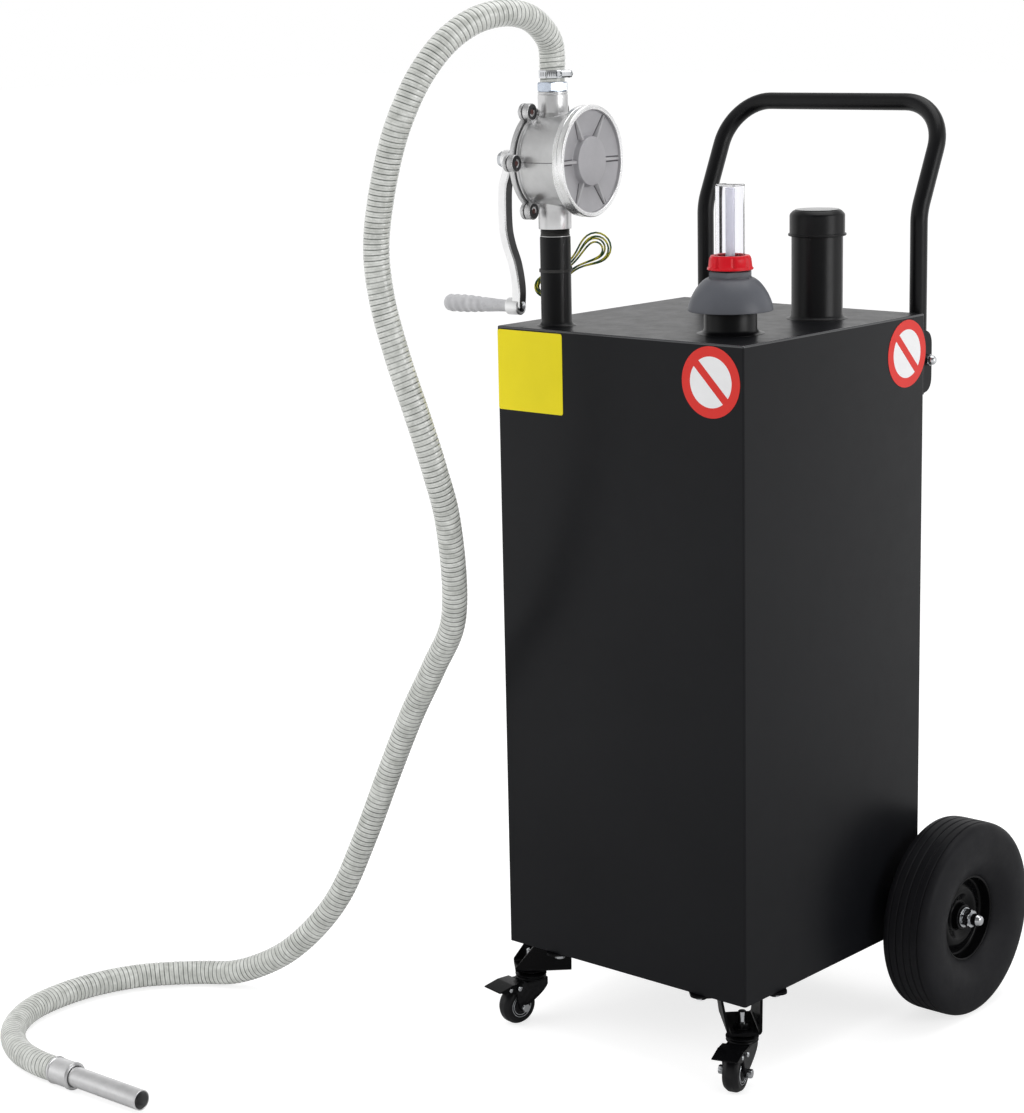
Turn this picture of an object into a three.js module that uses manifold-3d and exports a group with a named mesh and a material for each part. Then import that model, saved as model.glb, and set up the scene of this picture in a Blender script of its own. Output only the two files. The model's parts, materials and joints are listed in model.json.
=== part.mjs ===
// A wheeled fuel caddy: a square sheet-steel tank with a rotary hand pump, a level gauge and a capped
// filler on its lid, a push handle and two solid-tyred wheels behind, and two braked casters in front.
// Millimetres, +Z up, -Y is the front. The model is drawn about the middle of the tank's bottom, and
// the whole group is moved at the end so that its origin is under the middle of the caddy, on the floor.

import * as THREE from "three";
import { mergeVertices } from "three/addons/utils/BufferGeometryUtils.js";
import Module from "manifold-3d";

const wasm = await Module();
wasm.setup();

// Driving dimensions

const gap = 0.3; // between pieces that touch
const overrun = 2; // how far a cut runs past the face that it leaves
const weld = 0.001; // vertices closer than this are one
const sides = { fine: 20, round: 14, small: 10, tiny: 8 }; // facets of a full turn

const tank = { width: 380, depth: 380, height: 805, wall: 2, lid: 2.5, corner: 3 };
const onLid = { // from the lid's nearest edges to the middle of each pipe on it
  riserSide: 61.5, riserFront: 43, gaugeSide: 87.2, gaugeFront: 91.8, fillerSide: 87, fillerRear: 109.5,
};
const riser = {
  x: onLid.riserSide - tank.width / 2, y: onLid.riserFront - tank.depth / 2, radius: 19, wall: 2, height: 109,
  flare: 5, flareHeight: 4,
};
const nipple = { radius: riser.radius - riser.wall - gap, collar: 18.2, wall: 3, below: 12, above: 18 };
const dipTube = { radius: nipple.radius - nipple.wall - gap, wall: 1.6, floorGap: 18, cutSlopeShare: 0.7 };
const gauge = { x: tank.width / 2 - onLid.gaugeSide, y: onLid.gaugeFront - tank.depth / 2 };
const gaugeNeck = { radius: 31.8, wall: 2.5, height: 44, flare: 9, flareHeight: 4 };
const filler = {
  x: tank.width / 2 - onLid.fillerSide, y: tank.depth / 2 - onLid.fillerRear, radius: 31.8, wall: 2,
  height: 122.8, flare: 6, flareHeight: 4,
};
const fillerCap = { radius: 34.2, lip: 36, lipHeight: 2.8, skirt: 22.5, crown: 10, wall: 1.5 };
const handle = {
  radius: 11, inset: 22, standOff: 4.7, drop: 103, kneeRise: 124, topRise: 257.8, lean: 62.7, bend: 62,
};
const bracket = { height: 80, plate: 3, lip: 6 };
const handleBolt = { radius: 4, height: 42, flats: 13, nutDepth: 7, dome: 6 };
const axle = { radius: 8, bracketInset: 40, bracketHeight: 56, bracketWidth: 44, tip: 6 };
const wheel = {
  radius: 127.5, width: 65, clearance: 19, rimRadius: 56, beadHeight: 6, hubRadius: 17, hubProud: 4,
  rimWall: 3, discBow: 10, grooves: 5, grooveWidth: 2.2, grooveDepth: 1.8, groovePitch: 10.5,
};
const washer = { radius: 13.5, depth: 2 };
const axleNut = { flats: 22, depth: 10 };
const caster = {
  cornerInset: 18.5, radius: 25, width: 21, hubRadius: 13.5, trail: 24, axleDrop: 45, headRadius: 20.5,
  raceRadius: 18, race: 4.5, head: 9, cheek: 2.5, cheekGap: 1.6, hubProud: 1, dish: 2, boltLength: 43,
  boltRadius: 4, boltFlats: 10,
};
const leftCasterTurn = THREE.MathUtils.degToRad(-101); // the way each caster trails, from +X
const rightCasterTurn = THREE.MathUtils.degToRad(-73);
const hat = {
  drop: 38, plate: 3, start: 5, length: 73, webHalf: 21, mouthHalf: 26, earStart: 44, earHalf: 60,
};
const hatBolt = { lateral: 46, along: 61, flats: 13, depth: 6 };
const stem = { radius: 5, rise: 25, nutFlats: 17, nutDepth: 7 };
const pedal = {
  reach: 64, plate: 2, pivotAlong: 8.7, pivotRise: 28.2, above: 6.3, back: 9, tipDrop: 4.7, ear: 5.2,
  pin: 2.2,
};
const pump = {
  height: 202, turn: THREE.MathUtils.degToRad(5.75), barrel: 56, chamber: 49, rim: 67.4, rimStart: 43,
  face: 58, recess: 9.5, recessEdge: 4.5, recessRadius: 61.5, boss: 30, ribs: 6, ribWidth: 4, ribDrop: 3.5,
  joint: -14.6, flange: 60, flangeDepth: 2.4, chamberDepth: 50, gasket: 1,
  lugs: 6, lugCircle: 68.75, lugRadius: 10.5, lugReach: 8.1,
  cover: 8.1, coverRadius: 63, coverLug: 4.8, hub: 20, hubReach: 50,
  topPort: 18.5, topReach: 83, bottomPort: 20.35, bottomReach: 83,
};
const pumpBolt = { flats: 5.2, bore: 6, headFlats: 10, head: 4 };
const rotor = { radius: 40, end: 3, shaft: 7, shaftReach: 88, vanes: 4, vaneWidth: 5, sweepGap: 1 };
const packingNut = { flats: 30, depth: 9 };
const crank = {
  throw: 181.5, hub: 14, hubStart: 70, hubDepth: 16, width: 16, thickness: 13, edge: 1.5,
  boss: 10.8, bossStart: 57, bossDepth: 20, nutFlats: 19, nutDepth: 6,
};
const crankPathShares = [ // how far along the throw, and how far out in depths of the hub
  [0, 0.5], [0.07, 0.5], [0.27, 0.69], [0.5, 0.44], [0.72, -0.31], [0.88, -0.38], [1, -0.25],
];
const grip = { length: 99.5, root: 7.5, belly: 11.35, pin: 4, pinHead: 7, rings: 5, ringDepth: 0.8 };
const barb = {
  flats: 35, hex: 11, spigot: 12.4, spigotDepth: 20, radius: 11.7, ridge: 1, length: 24, bore: 9,
};
const hose = { radius: 16, valley: 0.9, wall: 2.6, ribs: 84, sides: 8, ribsPerBoreRing: 4, boreTurn: 0.18 };
const clamp = { rise: 4.5, height: 9.5, band: 1, housing: 15, screwRadius: 4.2, screwLength: 19 };
const ferrule = { wall: 0.9, length: 36, overlap: 20, rim: 1.2, rimWidth: 4 };
const nozzle = { radius: 12.7, wall: 1.5, length: 120, inside: 14 };
const sight = { radius: 17.45, wall: 1.6, height: 91.3, flange: 19.5, flangeDepth: 2, roof: 2 };
const dome = {
  rim: 51, lip: 1.2, top: 26, height: 39.2, wall: 3, start: 27, hex: 46.5, hexDepth: 7.4, stub: 16.6,
  stubRise: 9,
};
const domeCurveShare = 1.33; // how much fuller than a round the dome is drawn in at its middle
const ringNut = { bottom: 27.5, top: 23.5, height: 17.2, flange: 2.5, flutes: 8, fluteDepth: 1.6, lip: 2 };
const guide = { radius: 5.6, wall: 1, height: 89 };
const indicator = { radius: 1.6, bead: 4, beadHeight: 9, clearance: 1.2 };
const floatArm = {
  offset: 22, stand: 8, rod: 4, hub: 7, pin: 2.5, width: 6, length: 270, wire: 1.5, rest: 35,
};
const floatBall = { radius: 22, length: 62 };
const wire = {
  radius: 0.9, loopsPerLayer: 2, steps: 24, sides: 6, half: 52, swell: 19, waist: 1.8, pitch: 2.6,
  layer: 2.5, fan: 3,
};
const hank = {
  behind: 23.5, aside: 18, tilt: THREE.MathUtils.degToRad(36), turn: THREE.MathUtils.degToRad(41.8),
};
const tie = { thickness: 1.2, height: 4, above: 68 };

const floorLevel = -(hat.drop + caster.axleDrop + caster.radius);

// The way the hose lies, in steps to the right, back and up from where it leaves the pump: first the
// stretch that hangs, then the places, right and back, that the rest passes on the floor.
const hoseHang = [
  [0, 0, 0], [0, 0, 16], [0, 0, 32], [1, -4, 46], [4, -21, 62], [8, -51, 77], [8, -93, 83], [-1, -136, 75],
  [-14, -171, 53], [-28, -197, 20], [-41, -215, -19], [-60, -225, -75], [-82, -230, -180],
  [-80, -226, -245], [-66, -217, -315], [-47, -206, -385], [-35, -190, -455], [-36, -168, -522],
  [-64, -133, -655], [-112, -120, -726], [-158, -114, -795], [-202, -114, -880],
  [-242, -123, -975], [-279, -138, -1060], [-315, -153, -1111], [-357, -169, -1151], [-404, -184, -1178],
  [-436, -197, -1189],
];
const hoseFloor = [
  [-470, -214], [-503, -245], [-530, -278], [-552, -330], [-559, -385], [-551, -445], [-524, -494],
  [-488, -527], [-440, -550], [-392, -557], [-376, -556.5], [-335, -555],
];

// Finishes

function finish(color, roughness, metalness, opacity = 1) {
  return new THREE.MeshStandardMaterial({ color, roughness, metalness, opacity, transparent: opacity < 1 });
}
const blackPaint = () => finish(0x1d1e20, 0.45, 0.3);
const castAluminium = () => finish(0xa9abad, 0.42, 0.9);
const zinc = () => finish(0xc9ccd0, 0.25, 1);
const rubber = () => finish(0x1b1c1f, 0.8, 0);
const blackPlastic = () => finish(0x151618, 0.5, 0);
const greyPlastic = () => finish(0x63666c, 0.45, 0);
const redPlastic = () => finish(0xc8141f, 0.35, 0);
const clearPlastic = () => finish(0xf2f4f8, 0.08, 0, 0.35);
const hosePlastic = () => finish(0xcfd1cb, 0.35, 0, 0.8);
const groundGreen = () => finish(0x4f7f34, 0.45, 0);

// Solids and their booleans

function toSolid(geometry) {
  const bare = geometry.index ? geometry.toNonIndexed() : geometry.clone();
  bare.deleteAttribute("normal");
  bare.deleteAttribute("uv");
  const merged = mergeVertices(bare, weld);
  return new wasm.Manifold(new wasm.Mesh({
    numProp: 3,
    vertProperties: merged.attributes.position.array,
    triVerts: new Uint32Array(merged.index.array),
  }));
}

function fromSolid(solid) {
  const mesh = solid.getMesh();
  const indexed = new THREE.BufferGeometry();
  indexed.setAttribute("position", new THREE.BufferAttribute(Float32Array.from(mesh.vertProperties), 3));
  indexed.setIndex(new THREE.BufferAttribute(Uint32Array.from(mesh.triVerts), 1));
  const geometry = indexed.toNonIndexed();
  geometry.computeVertexNormals();
  return geometry;
}

function join(...pieces) {
  return fromSolid(pieces.map(toSolid).reduce((whole, piece) => whole.add(piece)));
}

function cut(base, ...tools) {
  return fromSolid(tools.map(toSolid).reduce((whole, tool) => whole.subtract(tool), toSolid(base)));
}

// Forms

function turned(profile, facets = sides.round) {
  const points = profile.map(([radius, height]) => new THREE.Vector2(radius, height));
  if (profile[0][0] > 0) points.push(points[0].clone());
  return new THREE.LatheGeometry(points, facets).rotateX(Math.PI / 2);
}

function rod(radius, from, to, facets) {
  return turned([[0, from], [radius, from], [radius, to], [0, to]], facets);
}

function pipe(outer, inner, from, to, facets) {
  return turned([[inner, from], [outer, from], [outer, to], [inner, to]], facets);
}

function hexBar(flats, from, to) {
  return rod(flats / Math.sqrt(3), from, to, 6);
}

function alongX(geometry) {
  return geometry.rotateY(Math.PI / 2);
}

function alongY(geometry) {
  return geometry.rotateX(-Math.PI / 2);
}

function box(x0, x1, y0, y1, z0, z1) {
  const geometry = new THREE.BoxGeometry(x1 - x0, y1 - y0, z1 - z0);
  return geometry.translate((x0 + x1) / 2, (y0 + y1) / 2, (z0 + z1) / 2);
}

function outline(points) {
  return new THREE.Shape(points.map(([x, y]) => new THREE.Vector2(x, y)));
}

function slab(shape, depth, curveSegments = sides.tiny) {
  return new THREE.ExtrudeGeometry(shape, { depth, bevelEnabled: false, curveSegments });
}

// A shape drawn in the plane of X and Z, as thick as depth and centred on Y = 0
function upright(shape, depth, curveSegments) {
  return slab(shape, depth, curveSegments).translate(0, 0, -depth / 2).rotateX(Math.PI / 2);
}

function roundedRectangle(width, depth, radius) {
  const x = width / 2;
  const y = depth / 2;
  const shape = new THREE.Shape();
  shape.absarc(x - radius, y - radius, radius, 0, Math.PI / 2);
  shape.absarc(radius - x, y - radius, radius, Math.PI / 2, Math.PI);
  shape.absarc(radius - x, radius - y, radius, Math.PI, Math.PI * 1.5);
  shape.absarc(x - radius, radius - y, radius, Math.PI * 1.5, Math.PI * 2);
  return shape;
}

// A centreline with one ring at each of its points
class RingPath extends THREE.Curve {
  constructor(points) {
    super();
    this.points = points;
  }
  getPoint(t) {
    const place = t * (this.points.length - 1);
    const index = Math.min(Math.floor(place), this.points.length - 2);
    return this.points[index].clone().lerp(this.points[index + 1], place - index);
  }
  getPointAt(u) {
    return this.getPoint(u);
  }
  getTangent(t) {
    const last = this.points.length - 1;
    const index = Math.round(t * last);
    const before = this.points[Math.max(index - 1, 0)];
    const after = this.points[Math.min(index + 1, last)];
    return after.clone().sub(before).normalize();
  }
  getTangentAt(u) {
    return this.getTangent(u);
  }
}

// The rings of a line whose inner corners are bent to a radius
function bentLine(corners, radius, steps) {
  const line = [corners[0]];
  corners.slice(1, -1).forEach((corner, i) => {
    const back = corners[i].clone().sub(corner).normalize();
    const ahead = corners[i + 2].clone().sub(corner).normalize();
    const halfTurn = (Math.PI - back.angleTo(ahead)) / 2;
    const inward = back.clone().add(ahead).normalize();
    const centre = corner.clone().addScaledVector(inward, radius / Math.cos(halfTurn));
    const arm = corner.clone().addScaledVector(back, radius * Math.tan(halfTurn)).sub(centre);
    const axis = ahead.clone().cross(back).normalize();
    for (let step = 0; step <= steps; step += 1) {
      const turnedArm = arm.clone().applyAxisAngle(axis, (2 * halfTurn * step) / steps);
      line.push(centre.clone().add(turnedArm));
    }
  });
  line.push(corners.at(-1));
  return line;
}

function bentRod(points, radius, facets) {
  const section = new THREE.Shape().absarc(0, 0, radius, 0, Math.PI * 2);
  return new THREE.ExtrudeGeometry(section, {
    extrudePath: new RingPath(points), steps: points.length - 1, curveSegments: facets,
  });
}

const caddy = new THREE.Group();

function add(name, geometry, material, parent = caddy) {
  const mesh = new THREE.Mesh(geometry, material);
  mesh.name = name;
  parent.add(mesh);
  return mesh;
}

function groupAt(x, y, z, parent = caddy) {
  const group = new THREE.Group();
  group.position.set(x, y, z);
  parent.add(group);
  return group;
}

// Tank: a folded wrap with a lid and a bottom welded into it

const lidTop = tank.height;
const rearFace = tank.depth / 2;

function tankWrap() {
  const shape = roundedRectangle(tank.width, tank.depth, tank.corner);
  const inner = roundedRectangle(
    tank.width - 2 * tank.wall, tank.depth - 2 * tank.wall, tank.corner - tank.wall,
  );
  shape.holes.push(inner);
  return slab(shape, tank.height - tank.lid - gap, 2);
}

function tankLid() {
  const holes = [
    [riser.x, riser.y, riser.radius - riser.wall],
    [gauge.x, gauge.y, gaugeNeck.radius - gaugeNeck.wall],
    [filler.x, filler.y, filler.radius - filler.wall],
  ].map(([x, y, radius]) => rod(radius, -overrun, tank.lid + overrun).translate(x, y, 0));
  const sheet = slab(roundedRectangle(tank.width, tank.depth, tank.corner), tank.lid, 2);
  return cut(sheet, ...holes).translate(0, 0, tank.height - tank.lid);
}

function tankBottom() {
  const inset = 2 * (tank.wall + gap);
  const corner = tank.corner - tank.wall - gap;
  return slab(roundedRectangle(tank.width - inset, tank.depth - inset, corner), tank.lid, 2);
}

add("tank_wrap", tankWrap(), blackPaint());
add("tank_lid", tankLid(), blackPaint());
add("tank_bottom", tankBottom(), blackPaint());

// A pipe welded upright on the lid, with the weld's fillet round its foot
function weldedPipe(size, facets) {
  const bore = size.radius - size.wall;
  return turned([
    [bore, 0], [size.radius + size.flare, 0], [size.radius + size.flare / 3, size.flareHeight / 3],
    [size.radius, size.flareHeight], [size.radius, size.height], [bore, size.height],
  ], facets);
}

// Suction side: riser, nipple and dip tube

const riserTop = lidTop + gap + riser.height;

function pumpNipple() {
  const foot = riserTop - nipple.below;
  const top = riserTop + nipple.above;
  const bore = nipple.radius - nipple.wall;
  return turned([
    [bore, foot], [nipple.radius, foot], [nipple.radius, riserTop + gap], [nipple.collar, riserTop + gap],
    [nipple.collar, top], [bore, top],
  ], sides.fine).translate(riser.x, riser.y, 0);
}

function suctionDipTube() {
  const foot = tank.lid + dipTube.floorGap;
  const tube = pipe(dipTube.radius, dipTube.radius - dipTube.wall, foot, riserTop, sides.small);
  const slope = dipTube.radius * dipTube.cutSlopeShare;
  const wedge = slab(outline([
    [-2 * dipTube.radius, foot - overrun], [2 * dipTube.radius, foot - overrun],
    [2 * dipTube.radius, foot + 2 * slope], [-2 * dipTube.radius, foot],
  ]), 4 * dipTube.radius).translate(0, 0, -2 * dipTube.radius).rotateX(Math.PI / 2);
  return cut(tube, wedge).translate(riser.x, riser.y, 0);
}

add("suction_riser", weldedPipe(riser, sides.fine).translate(riser.x, riser.y, lidTop + gap), blackPaint());
add("pump_nipple", pumpNipple(), blackPlastic());
add("dip_tube", suctionDipTube(), zinc());

// Filler: neck and lift-off cap

function fillerLid() {
  const inside = filler.radius + gap;
  const neckTop = filler.height + gap;
  const foot = neckTop - fillerCap.skirt + fillerCap.wall;
  const shoulder = foot + fillerCap.skirt;
  const rise = (share) => shoulder + fillerCap.crown * share;
  return turned([
    [inside, foot], [fillerCap.lip, foot], [fillerCap.lip, foot + fillerCap.lipHeight],
    [fillerCap.radius, foot + fillerCap.lipHeight], [fillerCap.radius, shoulder],
    [fillerCap.radius * 0.94, rise(0.3)], [fillerCap.radius * 0.8, rise(0.52)],
    [fillerCap.radius * 0.5, rise(0.85)], [0, rise(1)], [0, rise(1) - fillerCap.wall],
    [inside, neckTop + gap],
  ]);
}

add("filler_neck", weldedPipe(filler).translate(filler.x, filler.y, lidTop + gap), blackPaint());
add("filler_cap", fillerLid().translate(filler.x, filler.y, lidTop + gap), blackPaint());

// Level gauge: dome on its neck, red ring nut, clear sight tube, and the float arm in the tank

function gaugeDome() {
  const rim = dome.start;
  const crown = rim + dome.height;
  const inside = gaugeNeck.radius + gap;
  const neckTop = gaugeNeck.height + gap;
  const bow = (share) => [
    dome.top + (dome.rim - dome.top) * Math.sin(share * Math.PI / 2) ** domeCurveShare,
    rim + dome.lip + (dome.height - dome.lip) * Math.cos(share * Math.PI / 2) ** domeCurveShare,
  ];
  const outer = [1, 0.8, 0.6, 0.4, 0.2].map(bow);
  const shell = turned([
    [guide.radius + gap, neckTop], [inside, neckTop], [inside, rim + dome.wall],
    [inside + dome.wall, rim + dome.wall], [inside + dome.wall, crown - 4 * dome.wall],
    [dome.rim - dome.wall, rim], [dome.rim, rim], ...outer, [dome.top, crown],
    [guide.radius + gap, crown],
  ]);
  const hexTop = crown + dome.hexDepth;
  const hexPart = cut(
    hexBar(dome.hex, crown - dome.wall, hexTop), rod(guide.radius + gap, 0, hexTop + overrun),
  );
  const stub = pipe(dome.stub, guide.radius + gap, crown, hexTop + dome.stubRise, sides.small);
  return join(shell, hexPart, stub);
}

const domeTop = dome.start + dome.height + dome.hexDepth;
const stubTop = domeTop + dome.stubRise;

function gaugeRingNut() {
  const foot = domeTop + gap + dome.wall / 2;
  const top = foot + ringNut.height;
  const inside = sight.flange + 2 * gap;
  const lipFoot = top - ringNut.lip;
  const hole = sight.radius + 2 * gap;
  const ring = turned([
    [inside, foot], [ringNut.bottom, foot], [ringNut.bottom, foot + ringNut.flange],
    [ringNut.bottom - ringNut.flange / 2, foot + ringNut.flange], [ringNut.top, lipFoot],
    [ringNut.top - ringNut.lip / 2, top], [hole, top], [hole, lipFoot],
    [inside, lipFoot],
  ], 2 * ringNut.flutes);
  const flutes = Array.from({ length: ringNut.flutes }, (_, i) => {
    const reach = (ringNut.bottom + ringNut.top) / 2 - ringNut.fluteDepth;
    const bar = rod(2 * ringNut.fluteDepth, foot - overrun, top + overrun, 4);
    return bar.translate(reach + 2 * ringNut.fluteDepth, 0, 0).rotateZ((i / ringNut.flutes) * Math.PI * 2);
  });
  return cut(ring, ...flutes);
}

function sightTube() {
  const foot = stubTop + gap;
  const top = foot + sight.flangeDepth + sight.height;
  const inner = sight.radius - sight.wall;
  return turned([
    [inner, foot], [sight.flange, foot], [sight.flange, foot + sight.flangeDepth],
    [sight.radius, foot + sight.flangeDepth], [sight.radius, top - sight.roof],
    [sight.radius - sight.roof / 2, top], [0, top], [0, top - sight.roof], [inner, top - sight.roof],
  ]);
}

function indicatorGuide() {
  const bore = guide.radius - guide.wall;
  return pipe(guide.radius, bore, gaugeNeck.height + gap, stubTop + guide.height, sides.small);
}

const pivotHeight = tank.height / 2 - lidTop;
const restAngle = THREE.MathUtils.degToRad(floatArm.rest);

// The indicator stands just over the lever, whose top slopes down from the pivot at rest
const leverTopAtRest = pivotHeight - (floatArm.offset - indicator.radius) * Math.tan(restAngle);
const indicatorFoot = leverTopAtRest + indicator.clearance;

function indicatorRod() {
  const beadFoot = stubTop + gap;
  const shaft = rod(indicator.radius, indicatorFoot, beadFoot + indicator.beadHeight / 2, sides.tiny);
  const bead = rod(indicator.bead, beadFoot, beadFoot + indicator.beadHeight, sides.tiny);
  return join(shaft, bead);
}

// The bar that hangs from the dome and holds the float arm's pivot pin
function gaugeHanger() {
  const top = gaugeNeck.height;
  const bar = rod(floatArm.rod, pivotHeight - floatArm.hub, top, sides.tiny);
  const pinEnd = -floatArm.stand - floatArm.width / 2 - gap;
  const pin = alongY(rod(floatArm.pin, pinEnd, 0, sides.tiny)).translate(0, 0, pivotHeight);
  return join(bar, pin).translate(floatArm.offset, floatArm.stand, 0);
}

// The arm about its pivot: the float's wire and the short lever that lifts the indicator
function gaugeFloatArm() {
  const half = floatArm.width / 2;
  const hub = alongY(pipe(floatArm.hub, floatArm.pin + gap, -half, half, sides.small));
  const inHub = floatArm.pin - floatArm.hub;
  const leverEnd = -floatArm.offset / Math.cos(restAngle) - 2 * indicator.radius;
  const lever = box(leverEnd, inHub, -half, half, -2 * floatArm.wire, 0);
  const shaftStart = -floatArm.length + floatBall.length / 2 - overrun;
  const shaft = alongX(rod(floatArm.wire, shaftStart, inHub, sides.tiny));
  const bored = alongY(rod(floatArm.pin + gap, -floatArm.width, floatArm.width, sides.small));
  return cut(join(hub, lever, shaft.translate(0, 0, -floatArm.wire)), bored);
}

function gaugeFloat() {
  const half = floatBall.length / 2;
  const core = floatArm.wire + gap;
  const inner = half - 2 * overrun;
  return alongX(turned([
    [0, -half], [floatBall.radius * 0.72, -half], [floatBall.radius, -half * 0.72],
    [floatBall.radius, half * 0.72], [floatBall.radius * 0.72, half], [core, half], [core, -inner + half],
    [0, -inner + half],
  ], sides.small)).translate(-floatArm.length, 0, -floatArm.wire);
}

const gaugeGroup = groupAt(gauge.x, gauge.y, lidTop + gap);
add("gauge_neck", weldedPipe(gaugeNeck), blackPaint(), gaugeGroup);
add("gauge_dome", gaugeDome(), greyPlastic(), gaugeGroup);
add("gauge_ring_nut", gaugeRingNut(), redPlastic(), gaugeGroup);
add("sight_tube", sightTube(), clearPlastic(), gaugeGroup);
add("indicator_guide", indicatorGuide(), clearPlastic(), gaugeGroup);
add("indicator_rod", indicatorRod(), greyPlastic(), gaugeGroup);
add("gauge_hanger", gaugeHanger(), zinc(), gaugeGroup);
const floatGroup = groupAt(floatArm.offset, 0, pivotHeight, gaugeGroup);
floatGroup.rotation.y = -restAngle;
add("float_arm", gaugeFloatArm(), zinc(), floatGroup);
add("gauge_float", gaugeFloat(), blackPlastic(), floatGroup);

// Push handle, its two brackets and their cross bolts

const legY = rearFace + gap + bracket.plate + handle.standOff + handle.radius;
const handleHalf = tank.width / 2 - handle.inset;
const handleFoot = tank.height - handle.drop;
const handleKnee = tank.height + handle.kneeRise;
const handleTop = tank.height + handle.topRise;

function pushHandle() {
  const corner = (x, y, z) => new THREE.Vector3(x, y, z);
  const corners = [
    corner(handleHalf, legY, handleFoot), corner(handleHalf, legY, handleKnee),
    corner(handleHalf, legY + handle.lean, handleTop), corner(-handleHalf, legY + handle.lean, handleTop),
    corner(-handleHalf, legY, handleKnee), corner(-handleHalf, legY, handleFoot),
  ];
  const tube = bentRod(bentLine(corners, handle.bend, 4), handle.radius, sides.small / 2);
  const boltHeight = handleFoot + handleBolt.height;
  const bores = [-1, 1].map((side) => {
    const bore = alongX(rod(handleBolt.radius + gap, -2 * handle.radius, 2 * handle.radius, sides.tiny));
    return bore.translate(side * handleHalf, legY, boltHeight);
  });
  return cut(tube, ...bores);
}

// A welded channel: a back plate on the tank and two cheeks round what it holds
function channelBracket(inside, reach, height, boreRadius, boreReach, boreHeight) {
  const half = inside / 2 + bracket.plate;
  const back = box(-half - bracket.lip, half + bracket.lip, 0, bracket.plate, 0, height);
  const cheek = (side) => {
    const shape = new THREE.Shape();
    const nose = height / 4;
    shape.moveTo(0, 0);
    shape.lineTo(reach - nose, 0);
    shape.quadraticCurveTo(reach, 0, reach, nose);
    shape.lineTo(reach, height - nose);
    shape.quadraticCurveTo(reach, height, reach - nose, height);
    shape.lineTo(0, height);
    const plate = slab(shape, bracket.plate, 2).rotateX(Math.PI / 2).rotateZ(Math.PI / 2);
    return plate.translate(side > 0 ? half - bracket.plate : -half, 0, 0);
  };
  const bore = alongX(rod(boreRadius + gap, -2 * half, 2 * half, sides.small));
  return cut(join(back, cheek(-1), cheek(1)), bore.translate(0, boreReach, boreHeight));
}

function acornBolt() {
  const half = handle.radius + gap + bracket.plate + gap;
  const shank = rod(handleBolt.radius, -half - gap, half + gap, sides.tiny);
  const head = hexBar(handleBolt.flats, -half - handleBolt.nutDepth, -half);
  const nut = hexBar(handleBolt.flats, half, half + handleBolt.nutDepth);
  const dome = turned([
    [0, half], [handleBolt.flats / 2, half + handleBolt.nutDepth],
    [handleBolt.flats * 0.4, half + handleBolt.nutDepth + handleBolt.dome * 0.6],
    [0, half + handleBolt.nutDepth + handleBolt.dome],
  ], sides.small);
  return alongX(join(shank, head, nut, dome));
}

add("handle", pushHandle(), blackPaint());
for (const [side, name] of [[-1, "left"], [1, "right"]]) {
  const holder = groupAt(side * handleHalf, rearFace + gap, handleFoot);
  const reach = legY - rearFace - gap;
  const channel = channelBracket(
    2 * (handle.radius + gap), reach + handle.radius, bracket.height, handleBolt.radius, reach,
    handleBolt.height,
  );
  add(`handle_bracket_${name}`, channel, blackPaint(), holder);
  const bolt = add(`handle_bolt_${name}`, acornBolt(), zinc(), holder);
  bolt.position.set(0, reach, handleBolt.height);
  bolt.rotation.y = side > 0 ? 0 : Math.PI;
}

// Axle and its brackets behind the tank, and the two wheels on it

const axleY = rearFace + gap + bracket.plate + gap + axle.radius;
const axleHeight = floorLevel + wheel.radius;
const wheelInner = tank.width / 2 + wheel.clearance;
const wheelMiddle = wheelInner + wheel.width / 2;
const hubOuter = wheelMiddle + wheel.width / 4 - wheel.hubProud;
const nutFoot = hubOuter + gap + washer.depth + gap;

function axleBar() {
  const end = nutFoot + axleNut.depth + axle.tip;
  return alongX(turned([
    [0, -end - axle.tip / 2], [axle.radius * 0.6, -end], [axle.radius, -end + axle.tip / 2],
    [axle.radius, end - axle.tip / 2], [axle.radius * 0.6, end], [0, end + axle.tip / 2],
  ], sides.small)).translate(0, axleY, axleHeight);
}

function tyreProfile() {
  const half = wheel.width / 2;
  const crown = (share) => wheel.rimRadius + (wheel.radius - wheel.rimRadius)
    * (1 - Math.abs(share) ** 3.4) ** (1 / 3.4);
  const grooves = [];
  for (let i = 0; i < wheel.grooves; i += 1) {
    const middle = (i - (wheel.grooves - 1) / 2) * wheel.groovePitch;
    for (const [step, depth] of [[-1, 0], [0, 1], [1, 0]]) {
      const across = middle + (step * wheel.grooveWidth) / 2;
      grooves.push([crown(across / half) - depth * wheel.grooveDepth, across]);
    }
  }
  const wallShares = [0.9, 1];
  const seat = half - wheel.beadHeight;
  const bead = [wheel.rimRadius + wheel.beadHeight, half - wheel.beadHeight / 3];
  const outer = wallShares.map((share) => [
    share === 1 ? (wheel.rimRadius + wheel.radius) / 2 : crown(share), half * share,
  ]);
  const mirrored = [bead, ...outer.toReversed()].map(([radius, across]) => [radius, -across]);
  return [
    [wheel.rimRadius, -seat], ...mirrored, ...grooves, ...outer, bead, [wheel.rimRadius, seat],
  ];
}

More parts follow.
